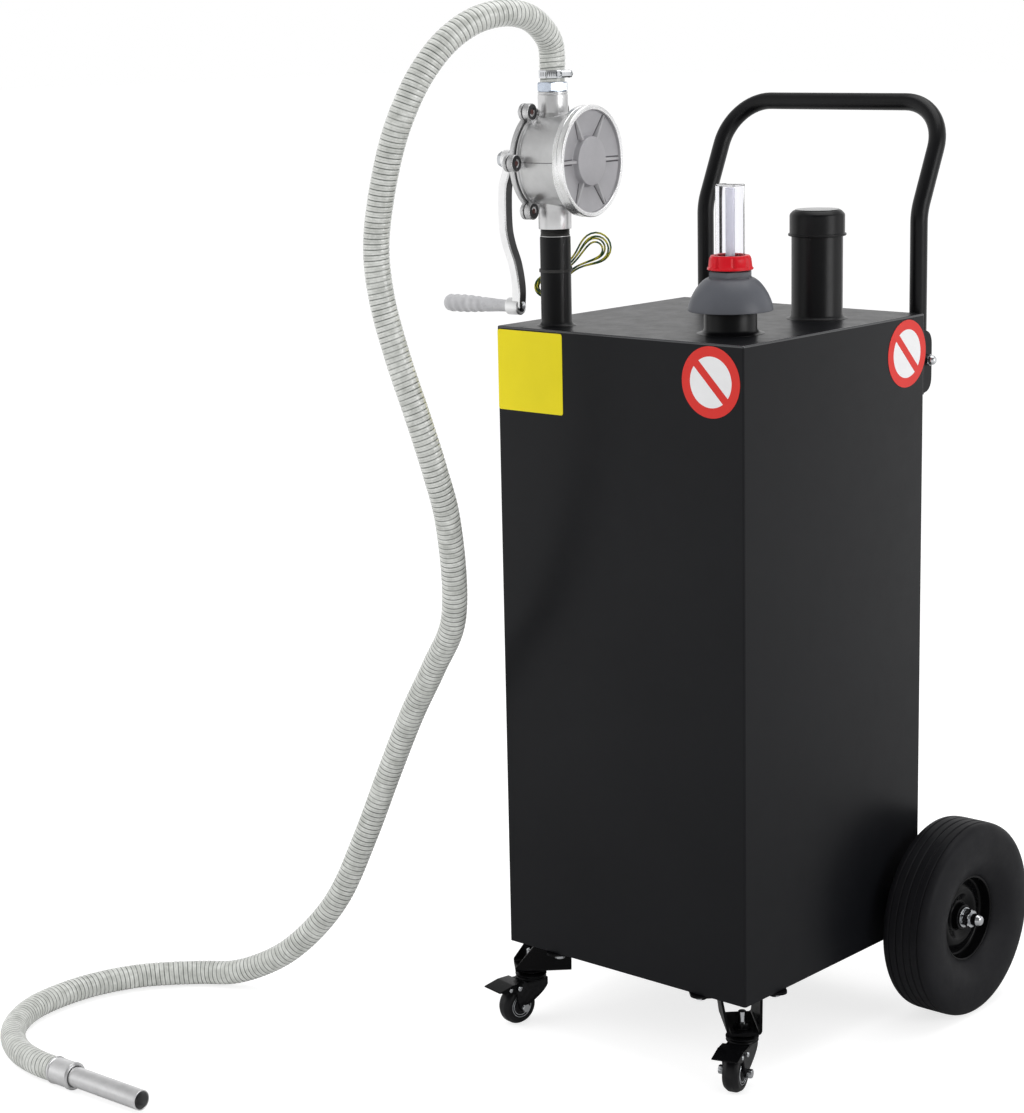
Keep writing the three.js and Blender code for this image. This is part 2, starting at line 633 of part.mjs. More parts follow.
function rimProfile() {
  const seat = wheel.rimRadius - gap;
  const half = wheel.width / 2 - wheel.beadHeight;
  const well = seat - wheel.rimWall;
  const bore = axle.radius + gap;
  const hubInner = wheelMiddle - wheelInner + wheel.clearance - gap * 5;
  const hubEnd = hubOuter - wheelMiddle;
  const disc = wheel.discBow;
  return [
    [bore, -hubInner], [wheel.hubRadius, -hubInner], [wheel.hubRadius, -wheel.rimWall],
    [(wheel.hubRadius + well) / 2, disc - wheel.rimWall], [well, -wheel.rimWall], [well, -half],
    [seat, -half], [seat, half], [well, half], [well, 0],
    [(wheel.hubRadius + well) / 2, disc], [wheel.hubRadius, 0], [wheel.hubRadius, hubEnd], [bore, hubEnd],
  ];
}

function axleNutPiece() {
  const face = rod(washer.radius * 0.8, 0, gap, sides.tiny);
  const nut = join(face, hexBar(axleNut.flats, 0, axleNut.depth));
  return cut(nut, rod(axle.radius + gap, -overrun, axleNut.depth + overrun, sides.small));
}

add("axle", axleBar(), zinc());
for (const [side, name] of [[-1, "left"], [1, "right"]]) {
  const foot = axleHeight - axle.bracketHeight / 2;
  const holder = groupAt(side * (tank.width / 2 - axle.bracketInset), rearFace + gap, foot);
  const reach = axleY - rearFace - gap;
  const shift = Math.max(0, -foot) + bracket.plate; // the channel stays above the tank's lower edge
  add(`axle_bracket_${name}`, channelBracket(
    axle.bracketWidth, reach + 2 * axle.radius, axle.bracketHeight, axle.radius, reach,
    axle.bracketHeight / 2 - shift,
  ), blackPaint(), holder).position.z = shift;
  const wheelGroup = groupAt(side * wheelMiddle, axleY, axleHeight);
  wheelGroup.rotation.z = side > 0 ? 0 : Math.PI;
  add(`tyre_${name}`, alongX(turned(tyreProfile(), sides.fine)), rubber(), wheelGroup);
  add(`rim_${name}`, alongX(turned(rimProfile(), sides.fine)), blackPaint(), wheelGroup);
  const hubEnd = hubOuter - wheelMiddle;
  const washerRing = pipe(washer.radius, axle.radius + gap, 0, washer.depth, sides.small);
  add(`axle_washer_${name}`, alongX(washerRing), zinc(), wheelGroup).position.x = hubEnd + gap;
  const nutPlace = hubEnd + 2 * gap + washer.depth;
  add(`axle_nut_${name}`, alongX(axleNutPiece()), zinc(), wheelGroup).position.x = nutPlace;
}

// Casters: a hat bracket across each front corner, a threaded stem, and the braked fork on it

// Drawn along its own diagonal: X runs inward from the tank's corner, Z is down from the tank
function hatBracket() {
  const low = -hat.drop;
  const top = -gap;
  const inner = hat.plate;
  const end = hat.start + hat.length;
  const section = outline([
    [-hat.earHalf, top - inner], [-hat.mouthHalf, top - inner], [-hat.webHalf, low],
    [hat.webHalf, low], [hat.mouthHalf, top - inner], [hat.earHalf, top - inner], [hat.earHalf, top],
    [hat.mouthHalf - inner, top], [hat.webHalf - inner, low + inner], [inner - hat.webHalf, low + inner],
    [inner - hat.mouthHalf, top], [-hat.earHalf, top],
  ]);
  const turnedUp = slab(section, hat.length).rotateX(Math.PI / 2).rotateZ(Math.PI / 2);
  const channel = turnedUp.translate(hat.start, 0, 0);
  const trims = [-1, 1].map((side) => {
    const near = side > 0 ? hat.mouthHalf : -hat.earHalf - overrun;
    const far = side > 0 ? hat.earHalf + overrun : -hat.mouthHalf;
    return box(0, hat.earStart, near, far, -inner - overrun, overrun);
  });
  const bevel = upright(outline([
    [hat.start - overrun, overrun], [hat.start - overrun, low + 2 * inner],
    [hat.mouthHalf + inner, overrun],
  ]), 4 * hat.earHalf);
  const stemHole = rod(stem.radius + gap, low - overrun, low + inner + overrun, sides.small);
  const bolts = [-1, 1].map((side) => {
    const bolt = hexBar(hatBolt.flats, -inner - hatBolt.depth, -inner);
    return bolt.translate(hatBolt.along, side * hatBolt.lateral, 0);
  });
  const stemAlong = caster.cornerInset * Math.SQRT2;
  return join(cut(channel, ...trims, bevel, stemHole.translate(stemAlong, 0, 0)), ...bolts);
}

// Stem, race and lock nut about the swivel axis; Z = 0 is the underside of the bracket's web
function casterStem() {
  const nutFoot = hat.plate + gap;
  const race = turned([
    [0, -caster.race], [caster.raceRadius * 0.85, -caster.race], [caster.raceRadius, -caster.race / 2],
    [caster.raceRadius * 0.9, -gap], [0, -gap],
  ], sides.small);
  const shaft = rod(stem.radius, -caster.race, stem.rise, sides.small);
  return join(race, shaft, hexBar(stem.nutFlats, nutFoot, nutFoot + stem.nutDepth));
}

const forkTop = -caster.race - gap;
const forkInside = caster.width / 2 + caster.cheekGap;

function casterFork() {
  const foot = forkTop - caster.head;
  const head = turned([
    [0, foot], [caster.headRadius, foot], [caster.headRadius * 0.93, foot + caster.head / 2],
    [caster.headRadius, forkTop - caster.cheek], [caster.headRadius * 0.85, forkTop], [0, forkTop],
  ]);
  const eye = caster.boltRadius * 1.5;
  const pivotAlong = caster.trail + pedal.pivotAlong;
  const pivotHeightInFork = pedal.pivotRise - caster.axleDrop;
  const cheek = (side) => {
    const shape = new THREE.Shape();
    shape.moveTo(-caster.headRadius * 0.8, foot + overrun);
    shape.lineTo(-caster.headRadius * 0.8, foot - caster.head);
    shape.quadraticCurveTo(
      -caster.headRadius * 0.5, -caster.axleDrop * 0.75, caster.trail - eye, -caster.axleDrop,
    );
    shape.absarc(caster.trail, -caster.axleDrop, eye, Math.PI, Math.PI * 2);
    shape.lineTo(pivotAlong + pedal.ear * 0.6, pivotHeightInFork);
    shape.lineTo(pivotAlong + pedal.pin, pivotHeightInFork + pedal.ear * 0.6);
    shape.lineTo(caster.headRadius * 0.9, pivotHeightInFork + pedal.ear * 0.75);
    shape.lineTo(caster.headRadius * 0.9, foot + overrun);
    const plate = upright(shape, caster.cheek, 2);
    return plate.translate(0, side * (forkInside + caster.cheek / 2), 0);
  };
  const crown = box(
    -caster.headRadius * 0.8, caster.headRadius * 0.9,
    -forkInside - caster.cheek, forkInside + caster.cheek,
    foot - caster.cheek, foot + overrun,
  );
  const bore = alongY(rod(caster.boltRadius + gap, -2 * forkInside, 2 * forkInside, sides.small));
  const pins = [-1, 1].map((side) => {
    const near = forkInside + caster.cheek - gap;
    const pin = alongY(rod(pedal.pin, 0, 2 * pedal.plate + 2 * gap, sides.tiny));
    return pin.rotateZ(side > 0 ? 0 : Math.PI).translate(
      pivotAlong, side * near, pivotHeightInFork,
    );
  });
  const boltBore = bore.translate(caster.trail, 0, -caster.axleDrop);
  return cut(join(head, crown, cheek(-1), cheek(1), ...pins), boltBore);
}

function casterWheel() {
  const half = caster.width / 2;
  const bore = caster.boltRadius + gap;
  const ring = caster.hubRadius;
  return alongY(turned([
    [bore, -half - caster.hubProud], [ring / 2, -half - caster.hubProud], [ring * 0.7, -half + caster.dish],
    [ring, -half], [caster.radius * 0.8, -half], [caster.radius, -half * 0.5], [caster.radius, half * 0.5],
    [caster.radius * 0.8, half], [ring, half], [ring * 0.7, half - caster.dish],
    [ring / 2, half + caster.hubProud], [bore, half + caster.hubProud],
  ], sides.round));
}

function casterBolt() {
  const half = forkInside + caster.cheek + gap;
  const end = caster.boltLength / 2;
  const shank = rod(caster.boltRadius, -end, end, sides.small);
  return alongY(join(shank, hexBar(caster.boltFlats, -end, -half), hexBar(caster.boltFlats, half, end)));
}

// The brake pedal about its pivot: a pressed tread over the wheel with an ear on each side
function brakePedal() {
  const inside = forkInside + caster.cheek + gap;
  const half = inside + pedal.plate;
  const tip = pedal.reach - caster.trail - pedal.pivotAlong;
  const top = pedal.above;
  const tipTop = top - pedal.tipDrop;
  const tread = upright(outline([
    [-pedal.back, top - pedal.plate], [tip * 0.3, top - pedal.plate], [tip, tipTop - pedal.plate],
    [tip, tipTop], [tip * 0.3, top], [-pedal.back, top],
  ]), 2 * half);
  const ear = (side) => {
    const shape = new THREE.Shape();
    shape.absarc(0, 0, pedal.ear, Math.PI, Math.PI * 1.5);
    shape.lineTo(tip * 0.5, -pedal.ear);
    shape.lineTo(tip * 0.95, tipTop - pedal.plate / 2);
    shape.lineTo(tip * 0.3, top - pedal.plate / 2);
    shape.lineTo(-pedal.ear, top - pedal.plate / 2);
    const plate = upright(shape, pedal.plate, 3);
    return plate.translate(0, side * (inside + pedal.plate / 2), 0);
  };
  const bore = alongY(rod(pedal.pin + gap, -2 * half, 2 * half, sides.tiny));
  return cut(join(tread, ear(-1), ear(1)), bore);
}

for (const [side, name, trailTurn] of [[-1, "left", leftCasterTurn], [1, "right", rightCasterTurn]]) {
  const corner = groupAt((side * tank.width) / 2, -tank.depth / 2, 0);
  corner.rotation.z = side > 0 ? Math.PI * 0.75 : Math.PI * 0.25;
  add(`caster_bracket_${name}`, hatBracket(), blackPaint(), corner);
  const stemX = side * (tank.width / 2 - caster.cornerInset);
  const swivel = groupAt(stemX, caster.cornerInset - tank.depth / 2, -hat.drop);
  add(`caster_stem_${name}`, casterStem(), zinc(), swivel);
  const trailing = groupAt(0, 0, 0, swivel);
  trailing.rotation.z = trailTurn;
  add(`caster_fork_${name}`, casterFork(), blackPaint(), trailing);
  const hub = groupAt(caster.trail, 0, -caster.axleDrop, trailing);
  add(`caster_wheel_${name}`, casterWheel(), rubber(), hub);
  add(`caster_bolt_${name}`, casterBolt(), zinc(), hub);
  const pivot = groupAt(caster.trail + pedal.pivotAlong, 0, pedal.pivotRise - caster.axleDrop, trailing);
  add(`brake_pedal_${name}`, brakePedal(), blackPaint(), pivot);
}

// Rotary hand pump. Its own X runs along the shaft, from the crank towards the ribbed face.

const pumpGroup = groupAt(riser.x, riser.y, tank.height + pump.height);
pumpGroup.rotation.z = pump.turn;

// A copy of a piece at each lug, on the lug circle about the shaft
function atLugs(make) {
  return Array.from({ length: pump.lugs }, (_, i) => {
    const angle = (i / pump.lugs) * Math.PI * 2;
    return alongX(make()).translate(0, pump.lugCircle * Math.cos(angle), pump.lugCircle * Math.sin(angle));
  });
}

function pumpBody() {
  const recessFloor = pump.face - pump.recess;
  const groove = gap * 2;
  const flangeBack = pump.joint + pump.flangeDepth;
  const casting = alongX(turned([
    [0, pump.joint], [pump.flange, pump.joint], [pump.flange, flangeBack], [pump.barrel, flangeBack],
    [pump.barrel, pump.rimStart], [pump.rim - groove, pump.rimStart], [pump.rim, pump.rimStart + groove],
    [pump.rim, pump.face - groove], [pump.recessRadius, pump.face],
    [pump.recessRadius, pump.face - pump.recessEdge], [pump.boss, recessFloor],
    [pump.boss - groove, pump.face - groove], [0, pump.face - groove],
  ], sides.fine));
  const around = (count, make) => Array.from(
    { length: count }, (_, i) => make().rotateX((i / count) * Math.PI * 2),
  );
  const ribs = around(pump.ribs, () => box(
    recessFloor - overrun, pump.face - pump.ribDrop, pump.boss - overrun, pump.recessRadius + overrun,
    -pump.ribWidth / 2, pump.ribWidth / 2,
  ));
  const lugEnd = pump.joint + pump.lugReach;
  const webs = around(pump.lugs, () => box(
    pump.joint, lugEnd, pump.barrel - overrun, pump.lugCircle, -pump.lugRadius / 2, pump.lugRadius / 2,
  ));
  const lug = () => rod(pump.lugRadius, pump.joint, lugEnd, sides.tiny);
  const nippleTop = nipple.above + riserTop - tank.height - pump.height;
  const ports = [
    rod(pump.topPort, pump.chamber, pump.topReach), rod(pump.bottomPort, -pump.bottomReach, -pump.chamber),
  ];
  const bores = [
    alongX(rod(pump.coverRadius + gap, -pump.bottomPort - overrun, pump.joint, sides.fine)),
    alongX(rod(pump.chamber, pump.joint - overrun, pump.joint + pump.chamberDepth, sides.fine)),
    rod(barb.spigot + gap, pump.chamber - 2 * overrun, pump.topReach + overrun, sides.small),
    rod(barb.spigot + gap, -pump.bottomReach, 2 * overrun - pump.chamber, sides.small),
    rod(nipple.collar + gap, -pump.bottomReach - overrun, nippleTop + gap, sides.fine),
    ...atLugs(() => hexBar(pumpBolt.bore, pump.joint - overrun, 0)),
  ];
  return cut(join(casting, ...ribs, ...webs, ...atLugs(lug), ...ports), ...bores);
}

function pumpGasket() {
  const near = pump.joint - gap - pump.gasket;
  return alongX(pipe(pump.flange - pump.gasket, pump.chamber, near, near + pump.gasket, sides.fine));
}

const coverFace = pump.joint - pump.gasket - 2 * gap;

function pumpCover() {
  const back = coverFace - pump.cover;
  const lugEnd = coverFace - pump.coverLug;
  const plate = alongX(turned([
    [0, -pump.hubReach], [pump.hub, -pump.hubReach], [pump.hub * 1.1, back - pump.gasket],
    [pump.coverRadius * 0.9, back], [pump.coverRadius, back + 2 * pump.gasket],
    [pump.coverRadius, coverFace], [0, coverFace],
  ]));
  const lug = () => rod(pump.lugRadius, lugEnd, coverFace, sides.tiny);
  const bolt = () => hexBar(pumpBolt.flats, coverFace - overrun, pump.joint + pump.lugReach);
  const head = () => hexBar(pumpBolt.headFlats, lugEnd - pumpBolt.head, lugEnd + overrun);
  const shaftBore = alongX(rod(rotor.shaft + gap, -pump.hubReach - overrun, coverFace + overrun));
  return cut(join(plate, ...atLugs(lug), ...atLugs(bolt), ...atLugs(head)), shaftBore);
}

function pumpRotor() {
  const start = coverFace + rotor.end;
  const end = pump.joint + pump.chamberDepth - rotor.end;
  const drum = alongX(rod(rotor.radius, start, end));
  const shaft = alongX(rod(rotor.shaft, -rotor.shaftReach, start + rotor.end, sides.small));
  const lock = alongX(hexBar(crank.nutFlats, -rotor.shaftReach - crank.nutDepth, -rotor.shaftReach));
  const vanes = Array.from({ length: rotor.vanes }, (_, i) => box(
    start, end, rotor.radius - overrun, pump.chamber - rotor.sweepGap,
    -rotor.vaneWidth / 2, rotor.vaneWidth / 2,
  ).rotateX((i / rotor.vanes) * Math.PI * 2));
  return join(drum, shaft, lock, ...vanes);
}

function shaftPackingNut() {
  const near = -pump.hubReach - gap;
  const nut = hexBar(packingNut.flats, near - packingNut.depth, near);
  return alongX(cut(nut, rod(rotor.shaft + gap, near - 2 * packingNut.depth, near + overrun, sides.fine)));
}

// The cast arm: a smooth swept outline between its hub and the grip's boss
function crankArm() {
  const middle = crankPathShares.map(([down, out]) => new THREE.Vector2(
    -crank.hubStart - crank.hubDepth * out, -crank.throw * down,
  ));
  const line = new THREE.SplineCurve(middle).getSpacedPoints(9);
  const offset = (side) => line.map((point, i) => {
    const before = line[Math.max(i - 1, 0)];
    const after = line[Math.min(i + 1, line.length - 1)];
    const across = after.clone().sub(before).normalize().rotateAround(new THREE.Vector2(), Math.PI / 2);
    return point.clone().addScaledVector(across, (side * crank.thickness) / 2 - side * crank.edge);
  });
  const shape = new THREE.Shape([...offset(-1), ...offset(1).toReversed()]);
  const arm = new THREE.ExtrudeGeometry(shape, {
    depth: crank.width - 2 * crank.edge, bevelThickness: crank.edge, bevelSize: crank.edge,
    bevelSegments: 1,
  }).translate(0, 0, crank.edge - crank.width / 2).rotateX(Math.PI / 2);
  const hub = alongX(rod(crank.hub, -crank.hubStart - crank.hubDepth, -crank.hubStart));
  const boss = alongX(rod(crank.boss, -crank.bossStart - crank.bossDepth, -crank.bossStart));
  const far = -rotor.shaftReach - crank.hubDepth;
  const shaftBore = rod(rotor.shaft + gap, far, -crank.bossStart, sides.small);
  const pinBore = rod(grip.pin + gap, far, 0, sides.tiny);
  const lowBoss = boss.translate(0, 0, -crank.throw);
  return cut(join(arm, hub, lowBoss), alongX(shaftBore), alongX(pinBore).translate(0, 0, -crank.throw));
}

const gripFoot = -crank.bossStart - crank.bossDepth - gap;

function crankGrip() {
  const bore = grip.pin + gap;
  const end = gripFoot - grip.length;
  const swell = (share) => grip.root
    + (grip.belly - grip.root) * Math.sin(Math.min(1, share * 1.35) * Math.PI / 2) ** 2;
  const waist = [0.08, 0.2, 0.32].map((share) => [swell(share), gripFoot - grip.length * share]);
  const rings = Array.from({ length: 2 * grip.rings }, (_, i) => {
    const share = 0.42 + (0.48 * i) / (2 * grip.rings - 1);
    const taper = grip.belly * 0.22 * Math.max(0, share - 0.75) * 4;
    return [swell(share) - taper - (i % 2) * grip.ringDepth, gripFoot - grip.length * share];
  });
  return alongX(turned([
    [bore, gripFoot], [bore, end + grip.pinHead], [0, end + grip.pinHead], [0, end],
    [grip.belly * 0.45, end], [grip.belly * 0.68, end + grip.length * 0.04],
    ...rings.toReversed(), ...waist.toReversed(), [grip.root * 1.05, gripFoot],
  ], sides.small)).translate(0, 0, -crank.throw);
}

function gripPin() {
  const near = -crank.bossStart + gap;
  const far = gripFoot - grip.length + grip.pinHead + gap;
  const pin = rod(grip.pin, far, near + overrun / 2, sides.tiny);
  const head = rod(grip.pinHead, near, near + overrun, sides.small);
  return alongX(join(pin, head)).translate(0, 0, -crank.throw);
}

add("pump_body", pumpBody(), castAluminium(), pumpGroup);
add("pump_gasket", pumpGasket(), blackPlastic(), pumpGroup);
add("pump_cover", pumpCover(), castAluminium(), pumpGroup);
add("packing_nut", shaftPackingNut(), zinc(), pumpGroup);
add("pump_rotor", pumpRotor(), zinc(), pumpGroup);
add("crank_arm", crankArm(), castAluminium(), pumpGroup);
add("crank_grip", crankGrip(), castAluminium(), pumpGroup);
add("grip_pin", gripPin(), zinc(), pumpGroup);

// Delivery side: barb, clamp, ribbed hose, ferrule and nozzle

const portTop = tank.height + pump.height + pump.topReach;
const barbTop = portTop + gap + barb.hex;

function hoseBarb() {
  const foot = portTop + gap;
  const ridges = [0.15, 0.45, 0.75].flatMap((share) => [
    [barb.radius, barbTop + barb.length * share],
    [barb.radius - barb.ridge, barbTop + barb.length * (share + 0.2)],
  ]);
  const stalk = turned([
    [barb.bore, foot - barb.spigotDepth], [barb.spigot, foot - barb.spigotDepth], [barb.spigot, barbTop],
    ...ridges, [barb.radius - barb.ridge, barbTop + barb.length], [barb.bore, barbTop + barb.length],
  ], sides.small);
  const hollow = rod(barb.bore, foot - overrun, barbTop + overrun, sides.small);
  const hex = cut(hexBar(barb.flats, foot, barbTop), hollow);
  return join(stalk, hex);
}

function hoseCentreline() {
  const start = new THREE.Vector3(riser.x, riser.y, barbTop + gap);
  const lyingHeight = floorLevel + hose.radius + 3 * gap - start.z;
  const steps = [...hoseHang, ...hoseFloor.map(([x, y]) => [x, y, lyingHeight])];
  const points = steps.map((step) => new THREE.Vector3(...step).add(start));
  return new THREE.CatmullRomCurve3(points, false, "centripetal");
}

// The hose: an outer skin of ribs and a smooth bore, joined at both ends
function hoseForm() {
  const path = hoseCentreline();
  path.arcLengthDivisions = 2000;
  const length = path.getLength();
  const plain = (2 * hose.radius) / length;
  const stations = [[0, 0], [plain, 0]];
  for (let i = 0; i < hose.ribs; i += 1) {
    const place = (step) => plain + ((1 - 2 * plain) * (i + step)) / hose.ribs;
    stations.push([place(0.25), 0], [place(0.75), 1]);
  }
  stations.push([1 - plain, 0], [1, 0]);
  const tangents = stations.map(([u]) => path.getTangentAt(u));
  let normal = new THREE.Vector3(0, 1, 0).projectOnPlane(tangents[0]).normalize();
  const position = [];
  const ring = (u, tangent, radius) => {
    const side = tangent.clone().cross(normal);
    const centre = path.getPointAt(u);
    for (let k = 0; k < hose.sides; k += 1) {
      const angle = ((k + 0.5) / hose.sides) * Math.PI * 2;
      const point = centre.clone().addScaledVector(normal, radius * Math.cos(angle));
      point.addScaledVector(side, radius * Math.sin(angle));
      position.push(point.x, point.y, point.z);
    }
  };
  const outerRings = stations.length;
  const boreStations = [];
  const plainEnds = [0, 1, outerRings - 2, outerRings - 1];
  let sinceRing = 0;
  stations.forEach(([u, high], i) => {
    normal = normal.projectOnPlane(tangents[i]).normalize();
    ring(u, tangents[i], high ? hose.radius : hose.radius - hose.valley);
    sinceRing += 1;
    const turned = boreStations.length ? tangents[i].angleTo(boreStations.at(-1)[1]) : 0;
    const due = turned > hose.boreTurn || sinceRing >= 2 * hose.ribsPerBoreRing;
    if (plainEnds.includes(i) || due) {
      boreStations.push([u, tangents[i], normal.clone()]);
      sinceRing = 0;
    }
  });
  for (const [u, tangent, kept] of boreStations) {
    normal = kept;
    ring(u, tangent, hose.radius - hose.wall);
  }
  const index = [];
  const strip = (first, second, flip) => {
    for (let k = 0; k < hose.sides; k += 1) {
      const next = (k + 1) % hose.sides;
      const corners = [first + k, first + next, second + next, second + k];
      const [a, b, c, d] = flip ? corners.toReversed() : corners;
      index.push(a, b, c, a, c, d);
    }
  };
  const ringStart = (i) => i * hose.sides;
  for (let i = 0; i < outerRings - 1; i += 1) strip(ringStart(i), ringStart(i + 1), false);
  for (let i = 0; i < boreStations.length - 1; i += 1) {
    strip(ringStart(outerRings + i), ringStart(outerRings + i + 1), true);
  }
  strip(ringStart(outerRings), ringStart(0), false);
  strip(ringStart(outerRings - 1), ringStart(outerRings + boreStations.length - 1), false);
  const indexed = new THREE.BufferGeometry();
  indexed.setAttribute("position", new THREE.Float32BufferAttribute(position, 3));
  indexed.setIndex(index);
  indexed.computeVertexNormals();
  return indexed;
}

function hoseClamp() {
  const inner = hose.radius - hose.valley + 2 * gap;
  const outer = inner + clamp.band;
  const band = pipe(outer, inner, 0, clamp.height);
  const housing = box(
    outer - clamp.band / 2, outer + 2 * clamp.screwRadius, -clamp.housing / 2, clamp.housing / 2,
    clamp.band / 2, clamp.height - clamp.band / 2,
  );
  const reach = clamp.screwLength / 2;
  const screw = alongY(rod(clamp.screwRadius * 0.7, -reach, reach, sides.tiny));
  const head = alongY(hexBar(clamp.screwRadius * 2, -clamp.screwLength / 2 - overrun, -clamp.housing / 2));
  const across = outer + clamp.screwRadius;
  const middle = clamp.height / 2;
  return join(band, housing, screw.translate(across, 0, middle), head.translate(across, 0, middle));
}

const hoseEnd = hoseCentreline().getPointAt(1);
const hoseHeading = hoseCentreline().getTangentAt(1);

function hoseFerrule() {
  const grips = hose.radius - hose.valley + 2 * gap;
  const outer = grips + ferrule.wall;
  const bore = nozzle.radius + gap;
  return alongX(turned([
    [bore, gap], [grips, gap], [grips, -ferrule.overlap], [outer, -ferrule.overlap],
    [outer, ferrule.length - ferrule.overlap - ferrule.rimWidth],
    [outer - ferrule.rim, ferrule.length - ferrule.overlap], [bore, ferrule.length - ferrule.overlap],
  ]));
}

function nozzleTube() {
  const bore = nozzle.radius - nozzle.wall;
  return alongX(pipe(nozzle.radius, bore, gap, nozzle.inside + nozzle.length));
}

add("hose_barb", hoseBarb(), zinc(), pumpGroup).position.z = -pumpGroup.position.z;
const clampTurn = -pump.turn;
const clampMesh = add("hose_clamp", hoseClamp(), zinc());
clampMesh.position.set(riser.x, riser.y, barbTop + clamp.rise);
clampMesh.rotation.z = clampTurn;
add("hose", hoseForm(), hosePlastic());
const nozzleGroup = groupAt(hoseEnd.x, hoseEnd.y, hoseEnd.z);
nozzleGroup.rotation.z = Math.atan2(hoseHeading.y, hoseHeading.x);
add("hose_ferrule", hoseFerrule(), castAluminium(), nozzleGroup);
add("nozzle_tube", nozzleTube(), castAluminium(), nozzleGroup);

// Earth wire: a hank of loops drawn in at the waist, behind the riser, held there by a tie

// The inmost loop: where it is at an angle, and which way is outward there
function hankLoop(angle) {
  const swell = wire.waist + wire.swell * Math.cos(angle) ** 2;
  return new THREE.Vector3(wire.half * Math.cos(angle), swell * Math.sin(angle), 0);
}

function hankOutward(angle) {
  const step = Math.PI / wire.steps;
  const along = hankLoop(angle + step).sub(hankLoop(angle - step)).normalize();
  return new THREE.Vector3(along.y, -along.x, 0);
}

// Loops that spiral out in one layer, climb along a run, and spiral in again in the next
function hankPoints() {
  const turns = 2 * wire.loopsPerLayer;
  return Array.from({ length: turns * wire.steps + 1 }, (_, i) => {
    const turn = i / wire.steps;
    const angle = Math.PI / 2 + turn * Math.PI * 2;
    const out = wire.loopsPerLayer - Math.abs(turn - wire.loopsPerLayer);
    const climb = THREE.MathUtils.clamp((turn - wire.loopsPerLayer) * 2 + 0.5, 0, 1);
    const pitch = wire.pitch * (1 + wire.fan * Math.max(0, Math.cos(angle)) ** 2);
    const point = hankLoop(angle).addScaledVector(hankOutward(angle), out * pitch);
    point.z = (climb - 0.5) * wire.layer;
    return point;
  });
}

// A band round the riser, a collar round the hank's waist, and the strap between them
function wireTie() {
  const inner = riser.radius + gap;
  const half = tie.height / 2;
  const band = pipe(inner + tie.thickness, inner, -half, half, sides.fine);
  const across = wire.waist + wire.loopsPerLayer * wire.pitch + wire.radius + gap;
  const deep = wire.layer / 2 + wire.radius + gap;
  const wall = tie.thickness;
  const collar = cut(
    box(-half, half, -across - wall, across + wall, -deep - wall, deep + wall),
    box(-half - overrun, half + overrun, -across, across, -deep, deep),
  );
  const placed = placeHank(collar);
  const reach = Math.hypot(hank.behind, hank.aside) - deep;
  const strap = box(riser.radius + gap + wall / 2, reach, -wall / 2, wall / 2, -half, half);
  return join(band, placed, strap.rotateZ(Math.atan2(hank.behind, hank.aside) + hank.turn));
}

// From the hank's own frame to the riser's: tilted up, turned to lie behind the riser
function placeHank(geometry) {
  geometry.rotateX(Math.PI / 2).rotateY(-hank.tilt).rotateZ(hank.turn);
  return geometry.translate(
    hank.aside * Math.cos(hank.turn) - hank.behind * Math.sin(hank.turn),
    hank.aside * Math.sin(hank.turn) + hank.behind * Math.cos(hank.turn), 0,
  );
}

const wireGroup = groupAt(riser.x, riser.y, lidTop + tie.above);
add("wire_tie", wireTie(), blackPlastic(), wireGroup);
add("earth_wire", placeHank(bentRod(hankPoints(), wire.radius, wire.sides / 2)), groundGreen(), wireGroup);

// The origin: on the floor, under the middle of everything but the hose and what is on it

const loose = ["hose", "hose_ferrule", "nozzle_tube", "earth_wire"];
caddy.updateMatrixWorld(true);
const extent = new THREE.Box3();
caddy.traverse((piece) => {
  if (piece.isMesh && !loose.includes(piece.name)) extent.expandByObject(piece, true);
});
const middle = extent.getCenter(new THREE.Vector3());
caddy.position.set(-middle.x, -middle.y, -extent.min.z);

export default caddy;
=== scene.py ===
import json
import math

import bmesh
import bpy
from mathutils import Matrix, Vector

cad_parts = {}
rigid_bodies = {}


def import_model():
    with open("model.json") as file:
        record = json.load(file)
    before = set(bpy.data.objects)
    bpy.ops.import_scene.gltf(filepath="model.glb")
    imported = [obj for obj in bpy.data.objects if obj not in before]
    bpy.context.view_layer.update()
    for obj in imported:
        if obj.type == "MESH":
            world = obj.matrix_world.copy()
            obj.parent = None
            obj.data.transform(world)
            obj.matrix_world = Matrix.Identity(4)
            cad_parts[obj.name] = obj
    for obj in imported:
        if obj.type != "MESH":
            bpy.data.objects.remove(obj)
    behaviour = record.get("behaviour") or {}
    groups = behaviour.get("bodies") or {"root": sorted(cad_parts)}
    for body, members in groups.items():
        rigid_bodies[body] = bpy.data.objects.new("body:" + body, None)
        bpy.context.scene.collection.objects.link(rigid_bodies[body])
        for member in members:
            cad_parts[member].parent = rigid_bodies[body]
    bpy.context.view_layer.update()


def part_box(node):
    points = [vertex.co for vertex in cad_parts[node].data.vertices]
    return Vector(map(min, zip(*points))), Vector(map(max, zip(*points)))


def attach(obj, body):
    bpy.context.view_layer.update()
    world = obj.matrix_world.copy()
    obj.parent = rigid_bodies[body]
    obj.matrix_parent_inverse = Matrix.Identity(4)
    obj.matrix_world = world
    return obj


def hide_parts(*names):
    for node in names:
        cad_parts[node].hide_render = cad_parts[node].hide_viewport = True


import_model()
print("frame loaded")

